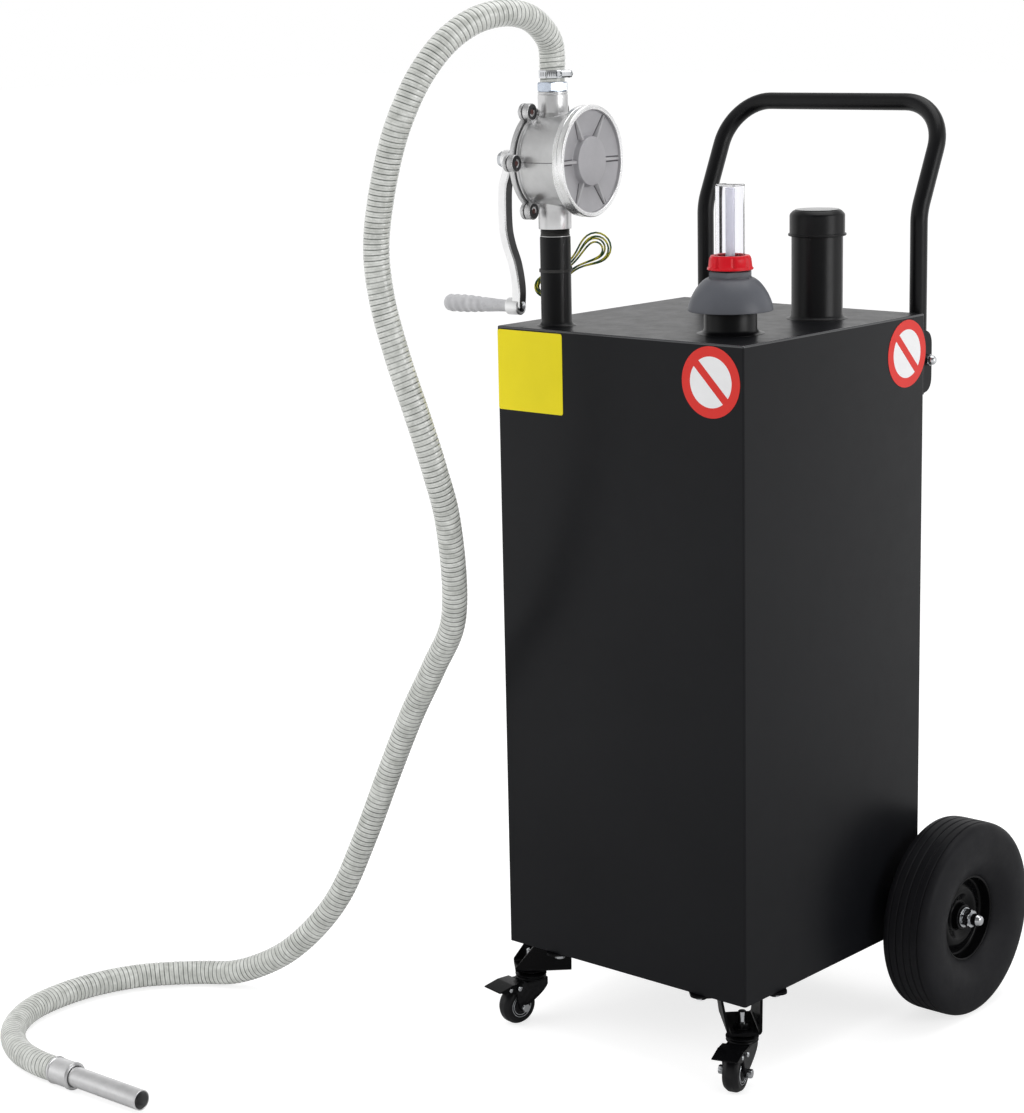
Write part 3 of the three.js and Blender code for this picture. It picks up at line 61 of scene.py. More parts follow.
mm = 0.001
wrapLow, wrapHigh = (Vector(corner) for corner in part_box("tank_wrap"))
tankFoot = Vector(((wrapLow.x + wrapHigh.x) / 2, (wrapLow.y + wrapHigh.y) / 2, wrapLow.z))
toRow = Matrix.Translation(tankFoot) @ Matrix.Scale(mm, 4)
alongX = Matrix.Rotation(math.pi / 2, 4, "Y")
alongY = Matrix.Rotation(-math.pi / 2, 4, "X")
fullTurn = 2 * math.pi
bothSides = ((-1, "left"), (1, "right"))
pumpAt = {"x": -128.5, "y": -147, "z": 1007, "turn": 5.75}  # the riser and the hose's start share x and y


def spot(x, y=0, z=0):
    return Matrix.Translation((x, y, z))


def turn(degrees, axis="Z"):
    return Matrix.Rotation(math.radians(degrees), 4, axis)


def outward(side, axis="Z"):
    return turn(0 if side > 0 else 180, axis)


def atRiser(height=0):
    return spot(pumpAt["x"], pumpAt["y"], height)


# Shapes: each is (points, faces), in millimetres
def moved(shape, *frames):
    matrix = Matrix.Identity(4)
    for step in frames:
        matrix = matrix @ step
    return [matrix @ Vector(point) for point in shape[0]], shape[1]


def merged(*shapes):
    points, faces = [], []
    for shapePoints, shapeFaces in shapes:
        start = len(points)
        points += [Vector(point) for point in shapePoints]
        faces += [[start + i for i in face] for face in shapeFaces]
    return points, faces


def rounded(outline, closed=False, steps=5):
    made = []
    count = len(outline)
    for i, corner in enumerate(outline):
        here = Vector(corner[:2])
        radius = corner[2] if len(corner) > 2 else 0
        if radius <= 0 or (not closed and i in (0, count - 1)):
            made.append(tuple(here))
            continue
        back = Vector(outline[i - 1][:2]) - here
        ahead = Vector(outline[(i + 1) % count][:2]) - here
        angle = back.angle(ahead)
        if angle > math.pi - 0.02:
            made.append(tuple(here))
            continue
        half = math.tan(angle / 2)
        reach = min(radius / half, 0.49 * back.length, 0.49 * ahead.length)
        radius = reach * half
        back.normalize()
        ahead.normalize()
        centre = here + (back + ahead).normalized() * (radius / math.sin(angle / 2))
        arm = here + back * reach - centre
        last = here + ahead * reach - centre
        sweep = math.atan2(arm.x * last.y - arm.y * last.x, arm.dot(last))
        for step in range(steps + 1):
            part = sweep * step / steps
            made.append((
                centre.x + arm.x * math.cos(part) - arm.y * math.sin(part),
                centre.y + arm.x * math.sin(part) + arm.y * math.cos(part),
            ))
    return made


def turned(profile, sides=96, closed=False):
    points, faces, rings = [], [], []
    for radius, height in profile:
        if radius < 1e-6:
            rings.append([len(points)] * sides)
            points.append(Vector((0, 0, height)))
            continue
        rings.append([len(points) + k for k in range(sides)])
        for k in range(sides):
            angle = fullTurn * k / sides
            points.append(Vector((radius * math.cos(angle), radius * math.sin(angle), height)))
    following = rings[1:] + (rings[:1] if closed else [])
    for lower, upper in zip(rings, following):
        for k in range(sides):
            n = (k + 1) % sides
            face = list(dict.fromkeys([lower[k], lower[n], upper[n], upper[k]]))
            if len(face) > 2:
                faces.append(face)
    return points, faces


# Turned from a profile with rounded corners: closed into a ring, and left as the profile stands
def hollow(profile, sides=96, steps=5):
    return turned(rounded(profile, closed=True, steps=steps), sides, closed=True)


def lathed(profile, sides, steps=5):
    return turned(rounded(profile, steps=steps), sides)


def lofted(loops, capped=True):
    count = len(loops[0])
    points = [Vector(point) for loop in loops for point in loop]
    faces = []
    for i in range(len(loops) - 1):
        for k in range(count):
            n = (k + 1) % count
            faces.append([i * count + k, i * count + n, (i + 1) * count + n, (i + 1) * count + k])
    if capped:
        faces.append(list(range(count))[::-1])
        faces.append([(len(loops) - 1) * count + k for k in range(count)])
    return points, faces


def slab(outline, low, high):
    return lofted([[(x, y, z) for x, y in outline] for z in (low, high)])


def box(x0, x1, y0, y1, z0, z1):
    return slab([(x0, y0), (x1, y0), (x1, y1), (x0, y1)], z0, z1)


def frameSlab(outer, inner, low, high):
    loops = [
        [(x, y, low) for x, y in inner], [(x, y, low) for x, y in outer],
        [(x, y, high) for x, y in outer], [(x, y, high) for x, y in inner],
        [(x, y, low) for x, y in inner],
    ]
    return lofted(loops, capped=False)


def upright(outline, depth):
    return moved(slab(outline, -depth / 2, depth / 2), turn(90, "X"))


def corners(width, depth, radius):
    x, y = width / 2, depth / 2
    return [(x, -y, radius), (x, y, radius), (-x, y, radius), (-x, -y, radius)]


# One loop of points round Z; reach gives the radius at an angle
def around(sides, height, reach):
    angles = [fullTurn * k / sides for k in range(sides)]
    return [(reach(a) * math.cos(a), reach(a) * math.sin(a), height) for a in angles]


def hexBar(flats, low, high, chamfer):
    corner = flats / math.sqrt(3)
    trims = [(low, chamfer), (low + chamfer * 0.6, 0), (high - chamfer * 0.6, 0), (high, chamfer)]

    def reach(angle, trim):
        inFlat = (angle + math.pi / 6) % (math.pi / 3) - math.pi / 6
        flat = corner * math.cos(math.pi / 6) / math.cos(math.pi / 6 - abs(inFlat))
        return min(flat, corner - trim)

    return lofted([around(36, height, lambda angle: reach(angle, trim)) for height, trim in trims])


def rodAt(radius, low, high, chamfer, sides=48):
    return turned([(0, low), (radius - chamfer, low), (radius, low + chamfer),
                   (radius, high - chamfer), (radius - chamfer, high), (0, high)], sides)


def headings(path):
    last = len(path) - 1
    return [(path[min(i + 1, last)] - path[max(i - 1, 0)]).normalized() for i in range(last + 1)]


# Rings square to a path, carried along it without twist; section(i, k) gives each point's place
def swept(path, sides, section, start=Vector((0, 1, 0))):
    ahead = headings(path)
    side = (start - ahead[0] * start.dot(ahead[0])).normalized()
    loops = []
    for i, (centre, heading) in enumerate(zip(path, ahead)):
        side = (side - heading * side.dot(heading)).normalized()
        across = heading.cross(side)
        places = [section(i, k) for k in range(sides)]
        loops.append([centre + side * a + across * b for a, b in places])
    return lofted(loops)


# Marks for the faces of a swept shape: how far along it, and the share of the way round
def skinOf(reaches, sides):
    skin = []
    for near, far in zip(reaches, reaches[1:]):
        for k in range(sides):
            low, high = k / sides, (k + 1) / sides
            skin.append([(near, low), (near, high), (far, high), (far, low)])
    return skin + [[(0, 0)] * sides] * 2


def roundSection(radius, sides):
    def at(_, k):
        angle = fullTurn * k / sides
        return radius * math.cos(angle), radius * math.sin(angle)
    return at


# A centripetal spline through the points
def splineThrough(points, total):
    ends = [points[0] * 2 - points[1], *points, points[-1] * 2 - points[-2]]
    dense = []
    steps = 60
    for i in range(len(points) - 1):
        p0, p1, p2, p3 = ends[i:i + 4]
        t0, t1, t2 = (max((b - a).length_squared ** 0.25, 1e-4) for a, b in ((p0, p1), (p1, p2), (p2, p3)))
        m1 = ((p1 - p0) / t0 - (p2 - p0) / (t0 + t1) + (p2 - p1) / t1) * t1
        m2 = ((p2 - p1) / t1 - (p3 - p1) / (t1 + t2) + (p3 - p2) / t2) * t1
        for step in range(steps):
            t = step / steps
            dense.append(p1 * (2 * t ** 3 - 3 * t ** 2 + 1) + m1 * (t ** 3 - 2 * t ** 2 + t)
                         + p2 * (3 * t ** 2 - 2 * t ** 3) + m2 * (t ** 3 - t ** 2))
    dense.append(points[-1].copy())
    lengths = [0.0]
    for a, b in zip(dense, dense[1:]):
        lengths.append(lengths[-1] + (b - a).length)
    even, j = [], 0
    for i in range(total + 1):
        reach = lengths[-1] * i / total
        while j < len(lengths) - 2 and lengths[j + 1] < reach:
            j += 1
        share = (reach - lengths[j]) / max(lengths[j + 1] - lengths[j], 1e-9)
        even.append(dense[j].lerp(dense[j + 1], share))
    return even, lengths[-1]


def bentLine(line, radius, steps):
    made = [line[0]]
    for before, here, after in zip(line, line[1:], line[2:]):
        back = (before - here).normalized()
        ahead = (after - here).normalized()
        half = (math.pi - back.angle(ahead)) / 2
        centre = here + (back + ahead).normalized() * (radius / math.cos(half))
        arm = here + back * (radius * math.tan(half)) - centre
        axis = ahead.cross(back).normalized()
        for step in range(steps + 1):
            made.append(centre + Matrix.Rotation(2 * half * step / steps, 3, axis) @ arm)
    made.append(line[-1])
    return made


# A piece: parts is a list of (shape, finish), stands the nodes it stands for; its place is in its mesh
def piece(name, parts, body, stands=(), bevel=0.0, sharp=38, skin=None):
    mesh = bpy.data.meshes.new(name)
    whole = merged(*[shape for shape, _ in parts])
    mesh.from_pydata([toRow @ point for point in whole[0]], [], whole[1])
    used = list(dict.fromkeys(finish for _, finish in parts))
    for finish in used:
        mesh.materials.append(finishes[finish]["material"])
    slots = []
    for shape, finish in parts:
        slots += [used.index(finish)] * len(shape[1])
    mesh.polygons.foreach_set("material_index", slots)
    if skin:
        layer = mesh.uv_layers.new(name="along")
        for face in mesh.polygons:
            for loop, mark in zip(face.loop_indices, skin[face.index]):
                layer.data[loop].uv = mark
    work = bmesh.new()
    work.from_mesh(mesh)
    bmesh.ops.remove_doubles(work, verts=work.verts, dist=2e-6)
    bmesh.ops.recalc_face_normals(work, faces=work.faces)
    work.to_mesh(mesh)
    work.free()
    mesh.shade_smooth()
    thing = bpy.data.objects.new(name, mesh)
    bpy.context.scene.collection.objects.link(thing)
    if bevel:
        soften = thing.modifiers.new("soft edges", "BEVEL")
        soften.width = bevel * mm
        soften.segments = 3
        soften.limit_method = "ANGLE"
        soften.angle_limit = math.radians(sharp)
        soften.harden_normals = True
    else:
        mesh.set_sharp_from_angle(angle=math.radians(sharp))
    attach(thing, body)
    if stands:
        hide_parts(*stands)
    return thing


# Shader groups, each built once and used by several finishes
def newGroup(name, inputs, output):
    group = bpy.data.node_groups.new(name, "ShaderNodeTree")
    for label, kind, value in inputs:
        socket = group.interface.new_socket(label, in_out="INPUT", socket_type="NodeSocket" + kind)
        socket.default_value = value
    group.interface.new_socket(output[0], in_out="OUTPUT", socket_type="NodeSocket" + output[1])
    return group, group.nodes.new("NodeGroupInput").outputs, group.nodes.new("NodeGroupOutput").inputs[0]


def feed(tree, node, inputs):
    for key, value in inputs.items():
        if isinstance(value, bpy.types.NodeSocket):
            tree.links.new(value, node.inputs[key])
        else:
            node.inputs[key].default_value = value
    return node.outputs


def addNode(tree, kind, inputs=None, **settings):
    made = tree.nodes.new("ShaderNode" + kind)
    for key, value in settings.items():
        setattr(made, key, value)
    return feed(tree, made, inputs or {})


def sums(tree, operation, *values):
    return addNode(tree, "Math", dict(enumerate(values)), operation=operation)[0]


def times(tree, first, second):
    return sums(tree, "MULTIPLY", first, second)


def measure(tree, operation, *vectors):
    return addNode(tree, "VectorMath", dict(enumerate(vectors)), operation=operation)["Value"]


def mixed(tree, share, first, second):
    return addNode(tree, "Mix", {0: share, 6: first, 7: second}, data_type="RGBA")[2]


def remap(tree, value, low, high, toLow, toHigh, **settings):
    return addNode(tree, "MapRange", {0: value, 1: low, 2: high, 3: toLow, 4: toHigh}, **settings)[0]


def clamped(tree, value):
    return addNode(tree, "Clamp", {0: value})[0]


def place(tree):
    return addNode(tree, "TexCoord")["Object"]


def noise(tree, scale, detail, roughness=0.5):
    return addNode(tree, "TexNoise", {
        "Vector": place(tree), "Scale": scale, "Detail": detail, "Roughness": roughness,
    })[0]


def makeGrainRelief():
    group, given, made = newGroup("grainRelief", [
        ("Grain Scale", "Float", 900), ("Grain", "Float", 0.5), ("Wave Scale", "Float", 8),
        ("Wave", "Float", 0),
    ], ("Height", "Float"))
    grain = times(group, noise(group, given["Grain Scale"], 3, 0.6), given["Grain"])
    wave = times(group, noise(group, given["Wave Scale"], 1, 0.4), given["Wave"])
    group.links.new(sums(group, "ADD", grain, wave), made)
    return group


def makeToneDrift():
    group, given, made = newGroup("toneDrift", [
        ("Scale", "Float", 12), ("Contrast", "Float", 1), ("Dark", "Color", (0, 0, 0, 1)),
        ("Light", "Color", (1, 1, 1, 1)),
    ], ("Color", "Color"))
    centred = sums(group, "SUBTRACT", noise(group, given["Scale"], 5, 0.62), 0.5)
    spread = times(group, centred, times(group, given["Contrast"], 2.4))
    mask = clamped(group, sums(group, "ADD", spread, 0.5))
    group.links.new(mixed(group, mask, given["Dark"], given["Light"]), made)
    return group


def makeSheenDrift():
    group, given, made = newGroup("sheenDrift", [
        ("Scale", "Float", 30), ("Low", "Float", 0.3), ("High", "Float", 0.5),
    ], ("Roughness", "Float"))
    cloud = noise(group, given["Scale"], 4, 0.7)
    group.links.new(remap(group, cloud, 0.3, 0.7, given["Low"], given["High"]), made)
    return group


# Lighter colour on sharp edges by pointiness: partly wear, partly a painted highlight
def makeEdgeWearAndHighlight():
    group, given, made = newGroup("edgeWearAndHighlight", [
        ("Color", "Color", (0, 0, 0, 1)), ("WearHighlightColor", "Color", (1, 1, 1, 1)), ("Reach", "Float", 0.54),
        ("Amount", "Float", 0.5),
    ], ("Color", "Color"))
    crest = remap(group, addNode(group, "NewGeometry")["Pointiness"], given["Reach"], 0.66, 0, 1)
    wearAndHighlightShare = times(group, times(group, crest, noise(group, 160, 3)), given["Amount"])
    group.links.new(mixed(group, clamped(group, wearAndHighlightShare), given["Color"], given["WearHighlightColor"]), made)
    return group


# Fine scores round an axis, as a lathe or a spinning brush leaves
def makeToolMarks():
    group, given, made = newGroup("toolMarks", [
        ("Centre", "Vector", (0, 0, 0)), ("Axis", "Vector", (0, 0, 1)), ("Density", "Float", 900),
        ("Along", "Float", 1),
    ], ("Height", "Float"))
    arm = addNode(group, "VectorMath", {0: place(group), 1: given["Centre"]}, operation="SUBTRACT")[0]
    rise = measure(group, "DOT_PRODUCT", arm, given["Axis"])
    length = measure(group, "LENGTH", arm)
    square = sums(group, "SUBTRACT", times(group, length, length), times(group, rise, rise))
    radius = sums(group, "SQRT", sums(group, "MAXIMUM", square, 0))
    both = sums(group, "ADD", radius, times(group, rise, given["Along"]))
    scores = addNode(group, "TexNoise", {"W": both, "Scale": given["Density"], "Detail": 4},
                     noise_dimensions="1D")
    group.links.new(scores[0], made)
    return group


groups = {
    "grainRelief": makeGrainRelief(), "toneDrift": makeToneDrift(), "sheenDrift": makeSheenDrift(),
    "edgeWearAndHighlight": makeEdgeWearAndHighlight(), "toolMarks": makeToolMarks(),
}


def useGroup(tree, name, inputs):
    made = tree.nodes.new("ShaderNodeGroup")
    made.node_tree = groups[name]
    return feed(tree, made, inputs)[0]


def color(red, green, blue):
    return (red, green, blue, 1.0)


# A finish from its numbers: tone drift, sheen drift, grain and, where asked, lighter edges, part wear and
# part painted highlight (colour, reach, amount), tool marks and values for the shader's own sockets
def makeFinish(name, slot, dark, light, sheen, grain, metal=0.0, specular=0.5, toneScale=14, contrast=1.0,
               wave=(6, 0.0), relief=0.0002, bump=0.25, wornHighlight=None, marks=None, shader=None):
    material = bpy.data.materials.new(name)
    material.use_nodes = True
    tree = material.node_tree
    surface = tree.nodes["Principled BSDF"]
    tone = useGroup(tree, "toneDrift", {
        "Scale": toneScale, "Contrast": contrast, "Dark": color(*dark), "Light": color(*light),
    })
    if wornHighlight:
        tone = useGroup(tree, "edgeWearAndHighlight", {
            "Color": tone, "WearHighlightColor": color(*wornHighlight[0]), "Reach": wornHighlight[1], "Amount": wornHighlight[2],
        })
    height = useGroup(tree, "grainRelief", {
        "Grain Scale": grain[0], "Grain": grain[1], "Wave Scale": wave[0], "Wave": wave[1],
    })
    if marks:
        height = sums(tree, "ADD", height, times(tree, useGroup(tree, "toolMarks", marks), scoreDepth))
    feed(tree, surface, {
        "Base Color": tone, "Metallic": metal, "Specular IOR Level": specular,
        "Roughness": useGroup(tree, "sheenDrift", {"Scale": 35, "Low": sheen[0], "High": sheen[1]}),
        "Normal": addNode(tree, "Bump", {"Strength": bump, "Distance": relief, "Height": height})["Normal"],
        **(shader or {}),
    })
    finishes[name] = {"material": material, "slot": slot}
    return material


finishes = {}
scoreDepth = 0.6  # of the tool marks, beside the grain
pumpAngle = math.radians(pumpAt["turn"])
shaftMarks = {
    "Centre": tuple(toRow @ Vector((pumpAt["x"], pumpAt["y"], pumpAt["z"]))), "Density": 1400, "Along": 0.2,
    "Axis": (math.cos(pumpAngle), math.sin(pumpAngle), 0.0),
}

makeFinish("powderBlack", "black_paint", (0.0046, 0.0049, 0.0062), (0.0062, 0.0065, 0.008), (0.3, 0.38),
           specular=0.16, toneScale=5, grain=(1500, 0.35), wave=(2.2, 20), bump=0.2,
           wornHighlight=((0.04, 0.04, 0.042), 0.56, 0.5))
makeFinish("pipeBlack", "black_paint", (0.003, 0.003, 0.0036), (0.0044, 0.0045, 0.0052), (0.28, 0.36),
           specular=0.22, toneScale=9, grain=(1300, 0.35), wave=(14, 3), bump=0.2,
           wornHighlight=((0.05, 0.05, 0.052), 0.56, 0.4))
# Lighter black with a sharp gloss: painted highlight, used on the lid's rounded edge and the filler cap's
# crown
makeFinish("highlightPaintedBlack", "black_paint", (0.02, 0.021, 0.024), (0.03, 0.031, 0.035), (0.14, 0.2),
           specular=0.8, toneScale=9, grain=(900, 0.3), relief=0.0001, bump=0.15)
makeFinish("glossBlack", "black_paint", (0.0022, 0.0022, 0.0026), (0.0036, 0.0036, 0.004), (0.16, 0.28),
           specular=0.11, toneScale=22, grain=(700, 0.5), wave=(60, 1.5),
           wornHighlight=((0.08, 0.08, 0.085), 0.56, 0.5))
makeFinish("castAluminium", "cast_aluminium", (0.58, 0.58, 0.583), (0.74, 0.74, 0.743), (0.27, 0.35),
           metal=0.85, toneScale=26, contrast=0.8, grain=(900, 0.7), wave=(60, 0.8), bump=0.2,
           wornHighlight=((0.8, 0.8, 0.8), 0.53, 0.9))
makeFinish("castFace", "cast_aluminium", (0.37, 0.365, 0.382), (0.45, 0.445, 0.462), (0.46, 0.6), metal=0.4,
           toneScale=30, contrast=0.5, grain=(1300, 1.0), bump=0.3, wornHighlight=((0.6, 0.6, 0.6), 0.55, 0.6))
# Dark cast aluminium: painted shade, for the strips under the ribs and the parting lines
makeFinish("shadePaintedCast", "cast_aluminium", (0.06, 0.058, 0.065), (0.09, 0.087, 0.096), (0.5, 0.65),
           metal=0.2, toneScale=30, contrast=0.5, grain=(1300, 1.0), bump=0.3)
makeFinish("lugAluminium", "cast_aluminium", (0.5, 0.5, 0.505), (0.7, 0.7, 0.705), (0.22, 0.32), metal=0.9,
           toneScale=40, contrast=0.8, grain=(900, 0.6), wave=(60, 0.8), bump=0.2)
# Bright turned aluminium for the rim band and the rotor; on the crank arm's edges it is a painted highlight
makeFinish("turnedAluminiumAndHighlight", "cast_aluminium", (0.9, 0.9, 0.905), (0.97, 0.97, 0.975), (0.2, 0.3),
           metal=0.9, toneScale=40, contrast=0.5, grain=(900, 0.3), relief=0.0001, bump=0.15,
           marks=shaftMarks)
makeFinish("armAluminium", "cast_aluminium", (0.84, 0.84, 0.845), (0.95, 0.95, 0.955), (0.28, 0.4),
           metal=0.8, toneScale=34, contrast=0.7, grain=(500, 1.0), wave=(120, 1.6), relief=0.0003,
           bump=0.28, wornHighlight=((0.95, 0.95, 0.95), 0.53, 0.7))
# Near-black aluminium: painted shade on the crank arm's side towards the pump and on the lugs' end faces
makeFinish("shadePaintedAluminium", "cast_aluminium", (0.03, 0.03, 0.031), (0.07, 0.07, 0.072), (0.3, 0.45), metal=0.7,
           toneScale=34, contrast=0.7, grain=(500, 1.0), wave=(120, 1.6), relief=0.0003, bump=0.28)
makeFinish("gripPale", "cast_aluminium", (0.42, 0.42, 0.435), (0.58, 0.58, 0.595), (0.25, 0.38),
           toneScale=50, contrast=0.8, grain=(900, 0.5), wave=(90, 1.0), bump=0.2)
makeFinish("brightZinc", "zinc", (0.5, 0.52, 0.54), (0.74, 0.75, 0.77), (0.1, 0.22), metal=1.0,
           toneScale=60, contrast=0.8, grain=(500, 0.3), wave=(200, 0.8), bump=0.2)
makeFinish("blueZinc", "zinc", (0.46, 0.51, 0.59), (0.62, 0.68, 0.78), (0.18, 0.3), metal=0.95,
           toneScale=90, contrast=0.8, grain=(500, 0.3), wave=(200, 0.8), bump=0.2)
makeFinish("tyreRubber", "rubber", (0.0075, 0.0075, 0.009), (0.0115, 0.0115, 0.0135), (0.44, 0.58),
           specular=0.13, toneScale=18, grain=(900, 0.8), wave=(25, 1.0), relief=0.0003, bump=0.22)
makeFinish("rollerRubber", "rubber", (0.006, 0.006, 0.007), (0.011, 0.011, 0.012), (0.3, 0.44),
           specular=0.25, toneScale=40, grain=(900, 0.5), bump=0.2)
makeFinish("threadBlack", "black_plastic", (0.012, 0.012, 0.012), (0.03, 0.029, 0.028), (0.3, 0.5),
           specular=0.35, toneScale=120, grain=(900, 0.6))
makeFinish("lugRed", "cast_aluminium", (0.05, 0.018, 0.015), (0.1, 0.03, 0.025), (0.3, 0.45), specular=0.4,
           toneScale=120, grain=(900, 0.6), bump=0.2)
makeFinish("domeGrey", "grey_plastic", (0.078, 0.082, 0.096), (0.098, 0.103, 0.118), (0.36, 0.46),
           specular=0.35, toneScale=20, contrast=0.6, grain=(1600, 0.7), bump=0.2)
makeFinish("nutRed", "red_plastic", (0.55, 0.004, 0.012), (0.66, 0.008, 0.018), (0.22, 0.32), specular=0.22,
           toneScale=30, contrast=0.6, grain=(900, 0.3), wave=(70, 0.6), bump=0.15)
makeFinish("clearTube", "clear_plastic", (0.94, 0.94, 0.965), (0.98, 0.98, 0.99), (0.02, 0.07),
           toneScale=20, contrast=0.4, grain=(500, 0.1), wave=(60, 0.8), relief=0.0001, bump=0.1,
           shader={"Transmission Weight": 1.0, "IOR": 1.18})
makeFinish("innerTube", "clear_plastic", (0.8, 0.8, 0.88), (0.88, 0.88, 0.93), (0.15, 0.25), toneScale=20,
           contrast=0.4, grain=(500, 0.2), relief=0.0001, bump=0.1,
           shader={"Transmission Weight": 0.5, "IOR": 1.2})
makeFinish("stickerYellow", "black_paint", (0.78, 0.66, 0.004), (0.86, 0.72, 0.008), (0.34, 0.46),
           specular=0.3, toneScale=12, contrast=0.7, grain=(800, 0.3), wave=(18, 1.0), relief=0.0001,
           bump=0.15)
makeFinish("signWhite", "black_paint", (0.78, 0.78, 0.79), (0.84, 0.84, 0.85), (0.3, 0.4), specular=0.3,
           contrast=0.6, grain=(800, 0.3), relief=0.0001, bump=0.12)
makeFinish("signRed", "black_paint", (0.62, 0.022, 0.016), (0.7, 0.03, 0.022), (0.3, 0.4), specular=0.3,
           contrast=0.6, grain=(800, 0.3), relief=0.0001, bump=0.12)


# Camera and studio

view = {"place": (1954.2, -2572.1, 1184.6), "aim": (-342.4, 0.15, 460.4), "roll": -1.23, "lens": 83.73}


def makeCamera():
    camera = bpy.data.objects.new("camera", bpy.data.cameras.new("camera"))
    bpy.context.scene.collection.objects.link(camera)
    stand = toRow @ Vector(view["place"])
    ahead = ((toRow @ Vector(view["aim"])) - stand).normalized()
    right = ahead.cross(Vector((0, 0, 1))).normalized()
    up = right.cross(ahead)
    roll = math.radians(view["roll"])
    right, up = right * math.cos(roll) + up * math.sin(roll), up * math.cos(roll) - right * math.sin(roll)
    camera.matrix_world = Matrix((
        (right.x, up.x, -ahead.x, stand.x), (right.y, up.y, -ahead.y, stand.y),
        (right.z, up.z, -ahead.z, stand.z), (0, 0, 0, 1),
    ))
    camera.data.lens = view["lens"]
    camera.data.sensor_width = 36
    camera.data.sensor_fit = "AUTO"
    camera.data.clip_end = 60
    bpy.context.scene.camera = camera


studio = {
    "lamps": [  # name, place, aim, size, watts: metres from the middle of the floor
        ("softKey", (-2.4, -2.6, 2.8), (0, 0, 0.6), 3.2, 60),
        ("softRight", (3.5, 0.3, 1.6), (0, 0, 0.6), 1.8, 36),
        ("overhead", (0.2, 0.5, 3.4), (0, 0, 0.8), 2.4, 38),
    ],
    "fill": 0.6, "floorGlow": 0.74, "floorShade": 0.5,
    "darkSide": (0.652, -0.73, 0.205), "darkness": 0.3, "ceiling": 0.45,  # the room as gloss mirrors it
}


def rays(tree):
    seen = addNode(tree, "LightPath")
    direct = sums(tree, "MAXIMUM", seen["Is Camera Ray"], seen["Is Transmission Ray"])
    return direct, seen["Is Glossy Ray"]


# White as the camera sees it, a soft fill, and for gloss a room with a dark side and a dim ceiling
def makeWorld():
    scene = bpy.context.scene
    scene.view_settings.view_transform = "Standard"
    scene.world = bpy.data.worlds.new("studio")
    scene.world.use_nodes = True
    tree = scene.world.node_tree
    direct, glossy = rays(tree)
    heading = addNode(tree, "TexCoord")["Generated"]
    facing = measure(tree, "DOT_PRODUCT", heading, studio["darkSide"])
    room = remap(tree, facing, 0.42, 0.85, 1, studio["darkness"], interpolation_type="SMOOTHSTEP")
    height = addNode(tree, "SeparateXYZ", {0: heading})["Z"]
    ceiling = remap(tree, height, 0.25, 0.75, 1, studio["ceiling"])
    mirrored = times(tree, glossy, times(tree, room, ceiling))
    soft = times(tree, studio["fill"], sums(tree, "SUBTRACT", 1, glossy))
    feed(tree, tree.nodes["Background"], {
        "Color": color(1, 1, 1),
        "Strength": sums(tree, "MAXIMUM", direct, sums(tree, "ADD", mirrored, soft)),
    })


def makeLamps():
    for name, stand, aim, size, watts in studio["lamps"]:
        lamp = bpy.data.lights.new(name, "AREA")
        lamp.size = size
        lamp.energy = watts
        holder = bpy.data.objects.new(name, lamp)
        bpy.context.scene.collection.objects.link(holder)
        holder.location = stand
        holder.visible_glossy = name != "softKey"  # no hard streak of it on the metal
        holder.rotation_euler = (Vector(aim) - Vector(stand)).to_track_quat("-Z", "Y").to_euler()


def makeFloor():
    reach = 40.0
    mesh = bpy.data.meshes.new("floor")
    mesh.from_pydata([(-reach, -reach, 0), (reach, -reach, 0), (reach, reach, 0), (-reach, reach, 0)], [],
                     [(0, 1, 2, 3)])
    floor = bpy.data.objects.new("floor", mesh)
    bpy.context.scene.collection.objects.link(floor)
    material = bpy.data.materials.new("paleFloor")
    material.use_nodes = True
    tree = material.node_tree
    tone = useGroup(tree, "toneDrift", {
        "Scale": 1.5, "Contrast": 0.4, "Dark": color(0.9, 0.9, 0.9), "Light": color(0.93, 0.93, 0.93),
    })
    direct, glossy = rays(tree)
    shade, shine = studio["floorShade"], studio["floorGlow"]
    # For gloss rays the floor's glow fades near the object: a painted shadow in its reflections
    near = remap(tree, measure(tree, "LENGTH", place(tree)), 0.6, 4.2, 0.04, shine)
    feed(tree, tree.nodes["Principled BSDF"], {
        "Base Color": mixed(tree, sums(tree, "MAXIMUM", direct, glossy), tone, color(shade, shade, shade)),
        "Emission Color": color(1, 1, 1), "Roughness": 0.9, "Specular IOR Level": 0.0,
        "Emission Strength": sums(tree, "MAXIMUM", times(tree, direct, shine), times(tree, glossy, near)),
    })
    mesh.materials.append(material)


makeCamera()
makeWorld()
makeLamps()
makeFloor()
print("camera and studio set")


# Hose: a clear wall moulded over a wire helix, with its ferrule and nozzle tube

